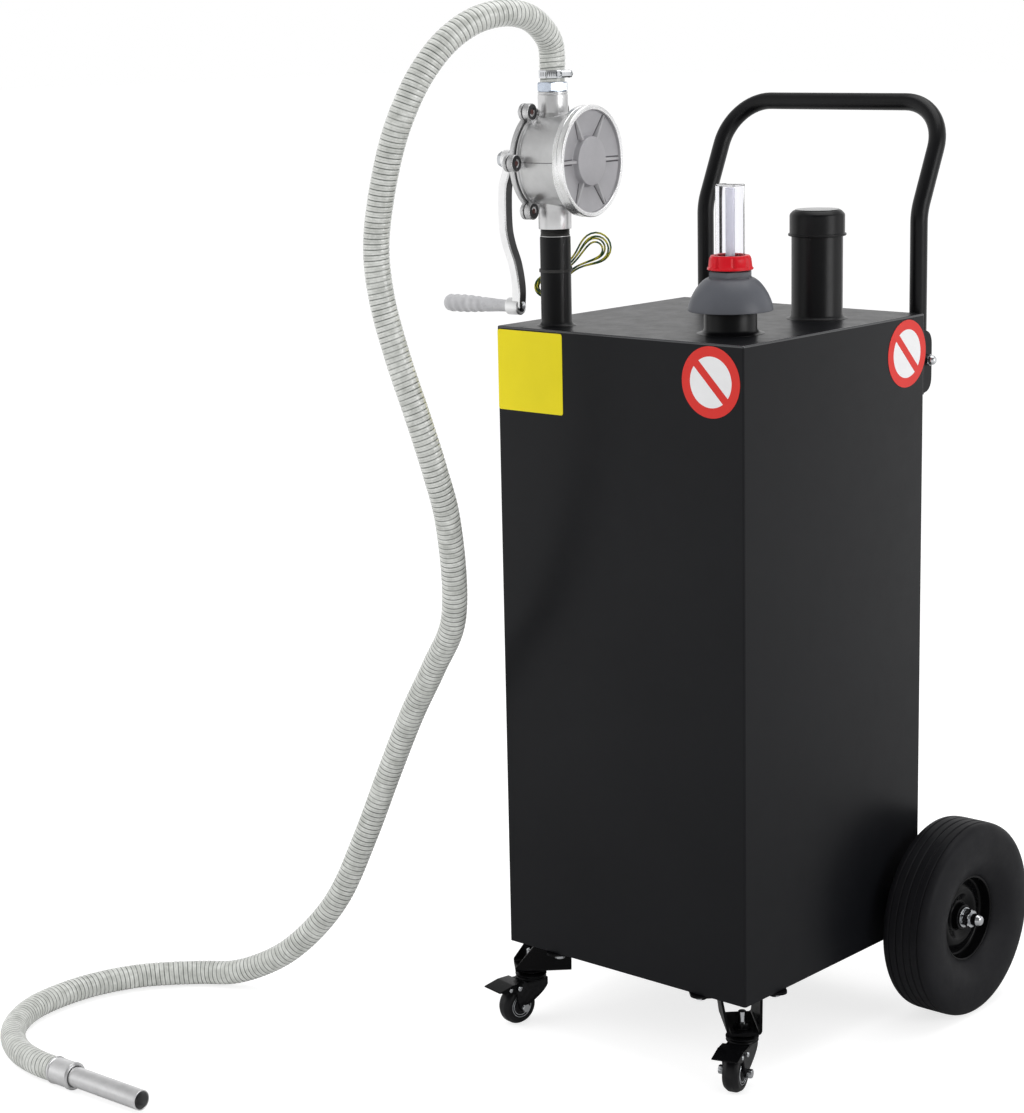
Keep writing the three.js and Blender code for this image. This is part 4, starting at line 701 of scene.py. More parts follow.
hose = {
    "start": (pumpAt["x"], pumpAt["y"], 1101.6), "radius": 16, "valley": 0.8, "pitch": 6.5,
    "ringsPerTurn": 6, "sides": 28, "gripped": 17, "grippedRadius": 15.3, "floor": -108, "clear": 17.6,
    "hang": [
        (0, 0, 0), (0, 0, 16), (0, 0, 32), (1, -4, 46), (4, -21, 62), (8, -51, 77), (8, -93, 83),
        (-1, -136, 75), (-14, -171, 53), (-28, -197, 20), (-41, -215, -19), (-60, -225, -75),
        (-82, -230, -180), (-80, -226, -245), (-66, -217, -315), (-47, -206, -385), (-35, -190, -455),
        (-36, -168, -522), (-64, -133, -655), (-112, -120, -726), (-158, -114, -795), (-202, -114, -880),
        (-242, -123, -975), (-279, -138, -1060), (-315, -153, -1111), (-357, -169, -1151),
        (-404, -184, -1178), (-436, -197, -1189),
    ],
    "lying": [
        (-470, -214), (-503, -245), (-530, -278), (-552, -330), (-559, -385), (-551, -445), (-524, -494),
        (-488, -527), (-440, -550), (-392, -557), (-376, -556.5), (-335, -555),
    ],
}
ferrule = {"radius": 16.6, "bore": 15.7, "overlap": 29.8, "front": 7, "lip": 17.6}
nozzle = {"radius": 12.7, "wall": 1.5, "reach": 126}


# The finish's own tone, and the marks that skinOf left
def skinned(material):
    tree = material.node_tree
    socket = tree.nodes["Principled BSDF"].inputs["Base Color"]
    along = addNode(tree, "UVMap", uv_map="along")["UV"]
    return tree, socket, socket.links[0].from_socket, addNode(tree, "SeparateXYZ", {0: along})


def makeHoseFinish():
    material = makeFinish("ribbedHose", "hose_plastic", (0.5, 0.51, 0.48), (0.8, 0.81, 0.78), (0.16, 0.3),
                          grain=(700, 0.4), toneScale=70, contrast=1.2, wave=(80, 1.0), relief=0.0003,
                          shader={"Coat Weight": 0.2})
    tree, socket, milk, marks = skinned(material)
    phase = sums(tree, "FRACT", sums(tree, "SUBTRACT", marks["X"], marks["Y"]))
    fromBand = times(tree, sums(tree, "ABSOLUTE", sums(tree, "SUBTRACT", phase, 0.5)), 2)
    strength = remap(tree, noise(tree, 26, 3), 0.35, 0.6, 0.6, 1)
    haze = remap(tree, fromBand, 0.2, 0.8, 0, 0.35)
    second = times(tree, remap(tree, fromBand, 0.02, 0.2, 0.5, 0), strength)
    wire = times(tree, remap(tree, fromBand, 0.74, 0.92, 0, 1), strength)
    hazy = mixed(tree, haze, milk, color(0.42, 0.44, 0.41))
    crossed = mixed(tree, second, hazy, color(0.22, 0.235, 0.215))
    tree.links.new(mixed(tree, wire, crossed, color(0.06, 0.07, 0.062)), socket)


def makeHose():
    start = Vector(hose["start"])
    lying = hose["floor"] + hose["clear"] - start.z
    marks = [start + Vector(step) for step in hose["hang"]]
    marks += [start + Vector((x, y, lying)) for x, y in hose["lying"]]
    length = splineThrough(marks, 10)[1]
    turns = length / hose["pitch"]
    count = round(turns * hose["ringsPerTurn"])
    path, length = splineThrough(marks, count)
    sides = hose["sides"]

    def section(i, k):
        reach = length * i / count
        phase = (reach / hose["pitch"] - k / sides) % 1
        radius = hose["radius"] - hose["valley"] * (2 * abs(phase - 0.5)) ** 3
        if reach < hose["gripped"] or length - reach < ferrule["overlap"] + 1:
            radius = hose["grippedRadius"]
        angle = fullTurn * k / sides
        return radius * math.cos(angle), radius * math.sin(angle)

    shape = swept(path, sides, section)
    skin = skinOf([length * i / count / hose["pitch"] for i in range(count + 1)], sides)
    tube = piece("ribbedHose", [(shape, "ribbedHose")], "caddy", ["hose"], sharp=80, skin=skin)
    heading = path[-1] - path[-2]
    tip = spot(*path[-1]) @ turn(math.degrees(math.atan2(heading.y, heading.x))) @ alongX
    radius, lip, bore = ferrule["radius"], ferrule["lip"], ferrule["bore"]
    back, front, tubeRadius = -ferrule["overlap"], ferrule["front"], nozzle["radius"]
    grip = hollow([
        (tubeRadius + 1, 0.4), (bore, 0.4), (bore, back + 0.2), (lip - 0.2, back, 0.6),
        (lip - 0.2, back + 2.6, 0.6), (radius - 0.5, back + 3, 0.2), (radius - 0.5, back + 4, 0.2),
        (radius, back + 4.4, 0.3), (radius, front - 6.6, 0.3), (lip, front - 5.8, 0.6),
        (lip, front - 2.2, 0.9), (radius - 1.4, front, 0.8), (tubeRadius + 1, front - 0.6),
    ])
    collar = piece("hoseFerrule", [(moved(grip, tip), "tubeAluminium")], "caddy", ["hose_ferrule"])
    inner, reach = tubeRadius - nozzle["wall"], nozzle["reach"]
    pipe = hollow([(inner, 0.4), (tubeRadius, 0.4), (tubeRadius, reach, 0.5), (inner, reach, 0.4)])
    spout = piece("nozzleTube", [(moved(pipe, tip), "tubeAluminium")], "caddy", ["nozzle_tube"])
    print("hose of", round(length), "mm")


# Earth wire: a hank of loops drawn in at the waist, tied to the riser

earthWire = {
    "radius": 1.2, "loopsPerLayer": 2, "steps": 56, "half": 46, "swell": 18, "waist": 1.8, "pitch": 2.7,
    "layer": 2.7, "fan": 1.8, "behind": 23.5, "aside": 18, "tilt": 36, "turn": 41.8, "rise": 873,
}


def makeWireFinish():
    material = makeFinish("wireCover", "wire_cover", (0.01, 0.06, 0.014), (0.02, 0.1, 0.026), (0.25, 0.35),
                          toneScale=60, grain=(900, 0.2), relief=0.0001, bump=0.1)
    tree, socket, green, marks = skinned(material)
    phase = sums(tree, "FRACT", sums(tree, "ADD", times(tree, marks["X"], 0.2), marks["Y"]))
    stripe = sums(tree, "GREATER_THAN", phase, 0.55)
    tree.links.new(mixed(tree, stripe, green, color(0.55, 0.5, 0.03)), socket)


def hankFrame():
    w = earthWire
    return turn(w["turn"]) @ spot(w["aside"], w["behind"]) @ turn(-w["tilt"], "Y") @ turn(90, "X")


def makeEarthWire():
    w = earthWire
    turns = 2 * w["loopsPerLayer"]
    toHank = atRiser(w["rise"]) @ hankFrame()

    def loop(angle):
        swell = w["waist"] + w["swell"] * math.cos(angle) ** 2
        return Vector((w["half"] * math.cos(angle), swell * math.sin(angle), 0))

    path = []
    for i in range(turns * w["steps"] + 1):
        along = i / w["steps"]
        angle = math.pi / 2 + along * fullTurn
        step = math.pi / w["steps"]
        heading = (loop(angle + step) - loop(angle - step)).normalized()
        out = w["loopsPerLayer"] - abs(along - w["loopsPerLayer"])
        climb = min(max((along - w["loopsPerLayer"]) * 2 + 0.5, 0), 1)
        pitch = w["pitch"] * (1 + w["fan"] * max(0, math.cos(angle)) ** 2)
        point = loop(angle) + Vector((heading.y, -heading.x, 0)) * out * pitch
        point.z = (climb - 0.5) * w["layer"]
        path.append(toHank @ point)
    sides = 12
    shape = swept(path, sides, roundSection(w["radius"], sides), start=Vector((0.3, 0.2, 1)))
    lead = piece("earthWireHank", [(shape, "wireCover")], "caddy", ["earth_wire"], sharp=60,
                 skin=skinOf(range(len(path)), sides))


makeFinish("tubeAluminium", "cast_aluminium", (0.7, 0.7, 0.705), (0.86, 0.86, 0.865), (0.26, 0.42),
           metal=0.95, toneScale=50, contrast=0.8, grain=(900, 0.6), wave=(120, 1.0), bump=0.2)
makeHoseFinish()
makeWireFinish()
makeHose()
makeEarthWire()


# Tank

tank = {
    "width": 380, "height": 805, "corner": 3, "wall": 2, "lid": 2.5, "topEdge": 1.8, "floor": 2.5,
    "floorInset": 2.3, "floorCorner": 0.7, "half": 190,
}


def tankSquare(inset, radius, steps=8):
    width = tank["width"] - 2 * inset
    return rounded(corners(width, width, radius), closed=True, steps=steps)


def makeTank():
    corner, edge = tank["corner"], tank["topEdge"]
    outer = tankSquare(0, corner)
    seam = tank["height"] - tank["lid"]
    wrap = frameSlab(outer, tankSquare(tank["wall"], corner - tank["wall"]), 0, seam)
    piece("tankWrap", [(wrap, "powderBlack")], "caddy", ["tank_wrap"], bevel=0.5, sharp=60)
    loops = [[(x, y, seam) for x, y in outer]]
    for step in range(7):
        angle = math.pi / 2 * step / 6
        inset = edge * (1 - math.cos(angle))
        height = tank["height"] - edge + edge * math.sin(angle)
        loops.append([(x, y, height) for x, y in tankSquare(inset, corner - inset)])
    top = slab([(x, y) for x, y, _ in loops[-1]], seam, tank["height"])
    # The lid's rounded edge takes the lighter black as a painted highlight
    piece("tankLid", [(top, "powderBlack"), (lofted(loops, capped=False), "highlightPaintedBlack")], "caddy",
          ["tank_lid"], sharp=50)
    floor = slab(tankSquare(tank["floorInset"], tank["floorCorner"], 4), 0, tank["floor"])
    piece("tankBottom", [(floor, "powderBlack")], "caddy", ["tank_bottom"], bevel=0.3, sharp=60)


makeTank()


# Riser, its threaded nipple and the filler

riser = {"radius": 19, "bore": 17, "foot": 24.5, "top": 914.3}
nipple = {
    "radius": 16.7, "collar": 18.2, "bore": 13.7, "thread": 0.7, "pitch": 1.8, "low": 903, "foot": 914.7,
    "top": 932.3,
}
filler = {"x": 103, "y": 80.5, "radius": 31.8, "wall": 2, "foot": 38, "top": 928.1}
fillerCap = {"radius": 34.2, "lip": 36, "lipHeight": 2.8, "foot": 907.4, "shoulder": 929.9, "crown": 940}


# The lower end of a pipe on the lid, from its bore to above the weld
def weldedFoot(bore, radius, foot):
    lid = tank["height"]
    spread = foot - radius
    return [(bore, lid - 0.4), (foot, lid - 0.4), (foot, lid + 0.3), (foot - 0.45 * spread, lid + 1.1),
            (radius + 0.25 * spread, lid + 2.4), (radius, lid + 5.5)]


def makeRiser():
    pipe = hollow([
        *weldedFoot(riser["bore"], riser["radius"], riser["foot"]), (riser["radius"], riser["top"], 0.8),
        (riser["bore"], riser["top"], 0.4),
    ])
    piece("suctionRiser", [(moved(pipe, atRiser()), "pipeBlack")], "caddy", ["suction_riser"])
    n = nipple
    foot, collar, root = n["foot"], n["collar"], n["collar"] - n["thread"]
    thread = [(n["bore"], n["low"]), (n["radius"], n["low"]), (n["radius"], foot - 0.2), (collar - 0.5, foot),
              (collar, foot + 0.5), (collar, foot + 2.2), (collar - 0.7, foot + 2.6)]
    height = foot + 3
    while height < n["top"] - 1:
        thread += [(root, height), (collar, height + n["pitch"] / 2)]
        height += n["pitch"]
    thread += [(root, n["top"]), (n["bore"], n["top"])]
    lightRing = hollow([
        (17, foot + 0.1), (collar + 0.3, foot + 0.1, 0.2), (collar + 0.3, foot + 0.9, 0.2), (17, foot + 0.9),
    ])
    piece("pumpNipple", [
        (moved(turned(thread, closed=True), atRiser()), "threadBlack"),
        (moved(lightRing, atRiser()), "castAluminium"),
    ], "caddy", ["pump_nipple"], sharp=75)


def makeFiller():
    here = spot(filler["x"], filler["y"])
    radius, bore, top = filler["radius"], filler["radius"] - filler["wall"], filler["top"]
    neck = hollow([*weldedFoot(bore, radius, filler["foot"]), (radius, top, 0.8), (bore, top, 0.8)])
    piece("fillerNeck", [(moved(neck, here), "pipeBlack")], "caddy", ["filler_neck"])
    c = fillerCap
    inside, radius, foot, crown = filler["radius"] + 0.3, c["radius"], c["foot"], c["crown"]
    shell = turned(rounded([
        (inside, foot), (c["lip"], foot, 0.9), (c["lip"], foot + c["lipHeight"], 0.9),
        (radius, foot + c["lipHeight"] + 0.4, 0.6), (radius, c["shoulder"] + 4, 5),
        (radius * 0.86, crown - 1.1, 6), (radius * 0.5, crown - 0.4, 30), (0, crown), (0, crown - 3),
        (inside, c["shoulder"] - 1.5),
    ], steps=6) + [(inside, foot)])
    # The crown disc takes the lighter black as a painted reflection
    top = turned([(radius * 0.8, crown - 0.7), (radius * 0.8, crown - 0.2), (radius * 0.5, crown + 0.2),
                  (0, crown + 0.5)])
    piece("fillerCap", [(moved(shell, here), "pipeBlack"), (moved(top, here), "highlightPaintedBlack")], "cap",
          ["filler_cap"])


makeRiser()
makeFiller()


# Level gauge

gauge = {
    "x": 102.8, "y": -98.2, "neck": 31.8, "bore": 29.3, "foot": 41, "neckTop": 849, "rim": 832.3,
    "crown": 871.5, "hexTop": 878.9, "stubTop": 887.9, "stem": 5.9,
}
ringNut = {"foot": 880.7, "top": 897.9, "lobes": 8, "notch": 1.9}
sightTube = {"foot": 888.2, "top": 981.5, "bore": 15.85, "radius": 17.45, "collar": 19.5}
guideTube = {"bore": 4.6, "radius": 5.6, "low": 850, "top": 976.9}
indicator = {"radius": 1.6, "low": 393, "high": 893, "bead": 4, "beadLow": 888.5, "beadHigh": 897.3}


def makeGaugeDome(here):
    rim, crown, stem, top = gauge["rim"], gauge["crown"], gauge["stem"], gauge["neckTop"]
    neck = turned([*weldedFoot(gauge["bore"], gauge["neck"], gauge["foot"]), (gauge["neck"], top),
                   (gauge["bore"], top)], closed=True)
    piece("gaugeNeck", [(moved(neck, here), "pipeBlack")], "caddy", ["gauge_neck"])
    outline = []
    for step in range(25):
        angle = math.pi / 2 * step / 24
        outline.append((26 + 25 * math.cos(angle) ** 1.33,
                        rim + 1.2 + (crown - rim - 1.2) * math.sin(angle) ** 1.33))
    dome = turned([(32.2, rim + 3), (47.5, rim + 0.4), (50.2, rim), (51, rim + 0.5), *outline,
                   (stem, crown), (stem, top + 0.3), (32.2, top + 0.3)], closed=True)
    collar = hexBar(47.4, crown - 1, gauge["hexTop"], 0.9)
    stub = turned([(stem, crown), (16.6, crown), (16.6, gauge["stubTop"]), (stem, gauge["stubTop"])],
                  closed=True)
    flange = hollow([(24.2, crown - 1.4), (25.6, crown - 0.6, 0.5), (25.6, crown + 1.2, 0.5),
                     (22, crown + 1.2)])
    piece("gaugeDome", [(moved(merged(dome, collar, stub, flange), here), "domeGrey")], "caddy",
          ["gauge_dome"])


def makeRingNut(here):
    foot, top = ringNut["foot"], ringNut["top"]
    rings = [(26.6, foot, 0), (27.5, foot + 0.6, 0), (27.5, foot + 2.4, 0), (26.9, foot + 3.0, 0.3),
             (26.3, foot + 3.4, 1), (25.2, top - 4.5, 1), (24.4, top - 2.2, 0.5), (23.6, top - 1.2, 0),
             (23.2, top - 0.3, 0), (22.6, top, 0), (18.1, top, 0), (18.1, top - 2, 0), (20.1, top - 2, 0),
             (20.1, foot, 0)]

    def notch(angle, share):
        return ringNut["notch"] * share * max(0.0, math.cos(angle * ringNut["lobes"])) ** 6

    loops = [around(160, height, lambda a: radius - notch(a, share)) for radius, height, share in rings]
    nut = lofted([*loops, loops[0]], capped=False)
    piece("ringNut", [(moved(nut, here), "nutRed")], "caddy", ["gauge_ring_nut"], sharp=50)


def makeIndicator(here):
    s = sightTube
    foot, top, bore, collar = s["foot"], s["top"], s["bore"], s["collar"]
    glass = turned(rounded([
        (bore, foot), (collar, foot, 0.4), (collar, foot + 2, 0.4), (s["radius"], foot + 2, 0.5),
        (s["radius"], top, 1.6), (0, top), (0, top - 2), (bore, top - 2, 1.2),
    ]) + [(bore, foot)])
    piece("sightTube", [(moved(glass, here), "clearTube")], "caddy", ["sight_tube"])
    g = guideTube
    guide = turned([(g["bore"], g["low"]), (g["radius"], g["low"]), (g["radius"], g["top"] - 0.3),
                    (g["radius"] - 0.4, g["top"]), (g["bore"], g["top"])], closed=True)
    piece("indicatorGuide", [(moved(guide, here), "innerTube")], "caddy", ["indicator_guide"])
    n = indicator
    stalk = rodAt(n["radius"], n["low"], n["high"], 0.3, 24)
    bead = lathed([(0, n["beadLow"]), (n["bead"], n["beadLow"], 1.2), (n["bead"], n["beadHigh"], 1.2),
                   (0, n["beadHigh"])], 48)
    piece("indicatorRod", [(moved(merged(stalk, bead), here), "nutRed")], "indicator", ["indicator_rod"])


onGauge = spot(gauge["x"], gauge["y"])
makeGaugeDome(onGauge)
makeRingNut(onGauge)
makeIndicator(onGauge)


# Push handle

handle = {
    "radius": 11, "half": 168, "legY": 209.0, "foot": 702, "knee": 929, "top": 1062.8, "lean": 62.7,
    "bend": 62, "bolt": 42, "shankHalf": 14.6,
}


def makeHandle():
    h = handle
    leg = [Vector((h["half"], h["legY"] + lean, height))
           for lean, height in ((0, h["foot"]), (0, h["knee"]), (h["lean"], h["top"]))]
    line = leg + [Vector((-point.x, point.y, point.z)) for point in reversed(leg)]
    tube = swept(bentLine(line, h["bend"], 16), 40, roundSection(h["radius"], 40), start=Vector((1, 0, 0)))
    piece("pushHandle", [(tube, "pipeBlack")], "caddy", ["handle"], bevel=0.8, sharp=60)


def acornBolt(side):
    half = handle["shankHalf"]
    shape = merged(
        rodAt(4, -half - 1, half + 1, 0.2, 24), hexBar(13, -half - 7, -half, 1.0),
        hexBar(13, half, half + 5, 0.8),
        lathed([(0, half + 4), (6.3, half + 4.6), (6.3, half + 7, 1), (5.6, half + 9.6, 2.5),
                (3.4, half + 12.2, 3), (0, half + 13)], 48, steps=4),
    )
    return moved(shape, outward(side), alongX)


def makeHandleBolts():
    for side, word in bothSides:
        here = spot(side * handle["half"], handle["legY"], handle["foot"] + handle["bolt"])
        piece("handleBolt_" + word, [(moved(acornBolt(side), here), "brightZinc")], "caddy",
              ["handle_bolt_" + word], sharp=30)


makeHandle()
makeHandleBolts()


# Wheels and axle

wheel = {
    "radius": 127.5, "width": 73, "middle": 241.5, "y": 201.6, "z": 19.5, "rim": 55.5, "seat": 17.5,
    "grooves": 5, "groovePitch": 10.5, "grooveWidth": 2.6, "grooveDepth": 1.9, "axle": 8.2, "nutFoot": 14.6,
}


def tyreShape():
    w = wheel
    half = w["width"] / 2
    outer = []
    steps = 120
    for i in range(steps + 1):
        across = -half + w["width"] * i / steps
        share = min(1, abs(across) / half)
        radius = w["rim"] + (w["radius"] - w["rim"]) * (1 - share ** 7) ** (1 / 7)
        for g in range(w["grooves"]):
            offset = abs(across - (g - (w["grooves"] - 1) / 2) * w["groovePitch"]) / (w["grooveWidth"] / 2)
            radius -= w["grooveDepth"] * max(0, 1 - max(0, offset - 0.4) / 0.6) ** 0.8
        outer.append((radius, across))
    seat = w["seat"]
    lowWall = [(w["rim"] + rise, across) for rise, across in (
        (0.2, -seat), (0.8, -seat - 2), (3.6, -seat - 4.6), (9, -seat - 8.6), (16, -half + 6.4),
        (24, -half + 2.9), (32, -half + 1.1), (40, -half + 0.3),
    )]
    wall = [point for point in outer if point[0] > w["rim"] + 44]
    highWall = [(radius, -across) for radius, across in reversed(lowWall)]
    return turned([*lowWall, *wall, *highWall], 160, closed=True)


def rimShape():
    seat, half = wheel["rim"] - 0.1, wheel["seat"]
    return hollow([
        (8.4, -49.8), (17, -49.8, 1), (17, -4, 2), (34, 7, 12), (53, -3, 4), (53, -half - 1.5, 1.5),
        (seat + 1.6, -half - 1.5, 1), (seat, -half + 0.6, 0.5), (seat, half - 0.6, 0.5),
        (seat + 1.6, half + 1.5, 1), (53, half + 1.5, 1.5), (53, 0, 4), (34, 10, 12), (17, 0, 3),
        (17, 12.05, 1.2), (13.2, 12.05, 0.4), (13.2, 11, 0.3), (8.4, 11),
    ], 128, steps=6)


def makeWheels():
    w = wheel
    foot, bore = w["nutFoot"], w["axle"] + 0.1
    for side, word in bothSides:
        here = spot(side * w["middle"], w["y"], w["z"]) @ outward(side) @ alongX
        piece("tyre_" + word, [(moved(tyreShape(), here), "tyreRubber")], "wheel_" + word, ["tyre_" + word],
              sharp=45)
        piece("rim_" + word, [(moved(rimShape(), here), "glossBlack")], "wheel_" + word, ["rim_" + word])
        washer = hollow([(bore, 12.35), (13.5, 12.35, 0.5), (13.5, 14.35, 0.6), (bore, 14.35)])
        piece("axleWasher_" + word, [(moved(washer, here), "brightZinc")], "caddy", ["axle_washer_" + word])
        nut = merged(hexBar(22, foot + 0.2, foot + 10, 1.6), rodAt(10.6, foot, foot + 1, 0.2))
        piece("axleNut_" + word, [(moved(nut, here), "brightZinc")], "caddy", ["axle_nut_" + word], sharp=30)
    end = w["middle"] + foot + 10 + 12
    half = [(w["axle"], end - 3.4, 3), (5.6, end + 1.8, 3), (0, end + 3)]
    bar = lathed([(radius, -across, *more) for radius, across, *more in reversed(half)] + half, 64)
    piece("axleBar", [(moved(bar, spot(0, w["y"], w["z"]), alongX), "brightZinc")], "caddy", ["axle"])


makeWheels()
print("tank, pipes, gauge, handle and wheels made")


# Front casters: welded hat bracket, swivel race and stem, fork, roller, bolt and brake pedal

hat = {
    "drop": 38, "plate": 3, "start": 5, "end": 78, "webHalf": 21, "mouthHalf": 26, "earStart": 44,
    "earHalf": 60, "boltAlong": 61, "boltAside": 46, "cut": 32, "slant": 24,
}
caster = {
    "at": 171.5, "radius": 25, "half": 10.5, "rings": (11.2, 12.4, 14.2, 15.4), "trail": 24, "drop": 45,
    "head": 20.5, "forkInside": 12.1, "cheek": 2.5, "foot": -13.8, "top": -4.8, "eye": 6, "boltEnd": 21.5,
    "turns": {"left": -101, "right": -73},
}
pedal = {
    "along": 32.7, "rise": -16.8, "tip": 31.3, "top": 6.3, "drop": 4.7, "back": 9, "ear": 5.2, "second": 13,
    "inside": 14.9, "plate": 2, "pin": 2.2,
}


def hatBracketShape():
    low, top, plate, end = -hat["drop"], -0.3, hat["plate"], hat["end"]
    web, mouth = hat["webHalf"], hat["mouthHalf"]
    section = rounded([
        (-mouth, top), (-web, low, 6), (web, low, 6), (mouth, top), (mouth - plate, top),
        (web - plate, low + plate, 3), (plate - web, low + plate, 3), (plate - mouth, top),
    ], closed=True)

    def startAt(height):
        return hat["start"] + hat["slant"] * max(0, (height + hat["cut"]) / (hat["cut"] + top))

    shapes = [lofted([[(startAt(z), y, z) for y, z in section], [(end, y, z) for y, z in section]])]
    for side in (-1, 1):
        ear = rounded([
            (hat["earStart"], side * (mouth - 2)), (end, side * (mouth - 2)),
            (end, side * hat["earHalf"], 4), (hat["earStart"], side * hat["earHalf"], 10),
        ], closed=True)
        shapes.append(slab(ear, top - plate, top))
    return merged(*shapes)


def hatBoltShape():
    shapes = []
    for side in (-1, 1):
        head = merged(hexBar(13, -9.3, -3.9, 1.0), rodAt(8.2, -4.2, -3.3, 0.3))
        shapes.append(moved(head, spot(hat["boltAlong"], side * hat["boltAside"], 0)))
    return merged(*shapes)


def forkShape():
    c = caster
    radius, foot, top, eye = c["head"], c["foot"], c["top"], c["eye"]
    head = lathed([
        (0, foot), (radius - 2, foot, 1), (radius, foot + 2, 1), (radius * 0.93, foot + radius * 0.2, 1.5),
        (radius, top - 3.4, 1), (radius, top - 2, 1), (radius * 0.85, top, 0.8), (0, top),
    ], 80, steps=4)
    outline = [(-0.8 * radius, foot + 0.5), (-0.8 * radius, foot - 9)]
    begin, middle, last = outline[-1], (-0.5 * radius, -0.75 * c["drop"]), (c["trail"] - eye, -c["drop"])
    for step in range(1, 13):
        t = step / 12
        outline.append(tuple(
            a * (1 - t) ** 2 + 2 * b * t * (1 - t) + c * t * t for a, b, c in zip(begin, middle, last)
        ))
    for step in range(1, 17):
        angle = math.pi + math.pi * step / 16
        outline.append((c["trail"] + eye * math.cos(angle), -c["drop"] + eye * math.sin(angle)))
    outline += [(pedal["along"] + 3.1, pedal["rise"]), (pedal["along"] + 2.2, pedal["rise"] + 3.1),
                (radius * 0.9, pedal["rise"] + 3.9), (radius * 0.9, foot + 0.5)]
    shapes = [head, box(-0.8 * radius, 0.9 * radius, -14.6, 14.6, foot - 2.5, foot + 0.5)]
    for side in (-1, 1):
        shapes.append(moved(upright(outline, c["cheek"]), spot(0, side * (c["forkInside"] + c["cheek"] / 2))))
    return merged(*shapes)


def rivetShape():
    shapes = []
    reach = caster["forkInside"] + caster["cheek"]
    for side in (-1, 1):
        pin = merged(
            rodAt(pedal["pin"], 0, 5, 0.3, 24),
            lathed([(0, 4.3), (3.4, 4.3), (3.2, 5.1, 0.5), (1.8, 5.9, 1), (0, 6.1)], 32),
        )
        at = spot(pedal["along"], side * reach, pedal["rise"]) @ outward(side)
        shapes.append(moved(pin, at, alongY))
    return merged(*shapes)


def rollerShape():
    r, half = caster["radius"], caster["half"]
    profile = [(4.4, -half - 0.4), (7.6, -half - 0.4, 0.5), (8.4, -half + 1.6, 0.4), (16.2, -half + 1.6, 0.6),
               (17, -half, 0.6), (r * 0.86, -half, 3), (r, -half * 0.45, 5)]
    profile += [(corner[0], -corner[1], *corner[2:]) for corner in reversed(profile)]
    return hollow(profile, 96)


def rollerRings():
    shapes = []
    inner, innerEdge, outer, outerEdge = caster["rings"]
    foot = caster["half"] - 1.8
    for side in (-1, 1):
        for low, high, rise in ((inner, innerEdge, 1.4), (outer, outerEdge, 1.9)):
            ring = hollow([(low, foot), (low, foot + rise, 0.4), (high, foot + rise, 0.4), (high, foot)], 80)
            shapes.append(moved(ring, outward(side, "X")))
    return merged(*shapes)


def pedalShape():
    p = pedal
    tip, top, half = p["tip"], p["top"], p["inside"] + p["plate"]
    low = top - p["drop"]
    tread = rounded([
        (-p["back"], top - 2), (tip * 0.3, top - 2, 12), (tip, low - 2, 0.6), (tip, low - 0.2, 0.6),
        (tip * 0.3, top, 14), (-p["back"], top, 0.8),
    ], closed=True, steps=6)
    shapes = [upright(tread, 2 * half)]
    radius = p["ear"]
    angles = [math.pi * (1 + step / 16) for step in range(9)]
    ear = [(radius * math.cos(angle), radius * math.sin(angle)) for angle in angles]
    ear += [(tip * 0.5, -radius), (tip * 0.72, -radius * 0.6), (tip * 0.97, low - 1), (tip * 0.3, top - 0.6),
            (-radius, top - 0.6)]
    for side in (-1, 1):
        shapes.append(moved(upright(ear, p["plate"]), spot(0, side * (p["inside"] + p["plate"] / 2))))
    return merged(*shapes)


def pedalRivetShape():
    reach = pedal["inside"] + pedal["plate"]
    button = lathed([(0, -0.3), (2.9, -0.3), (2.8, 0.5, 0.4), (1.6, 1.2, 0.8), (0, 1.4)], 32)
    return merged(*[
        moved(button, spot(pedal["second"], side * reach) @ outward(side), alongY)
        for side in (-1, 1)
    ])


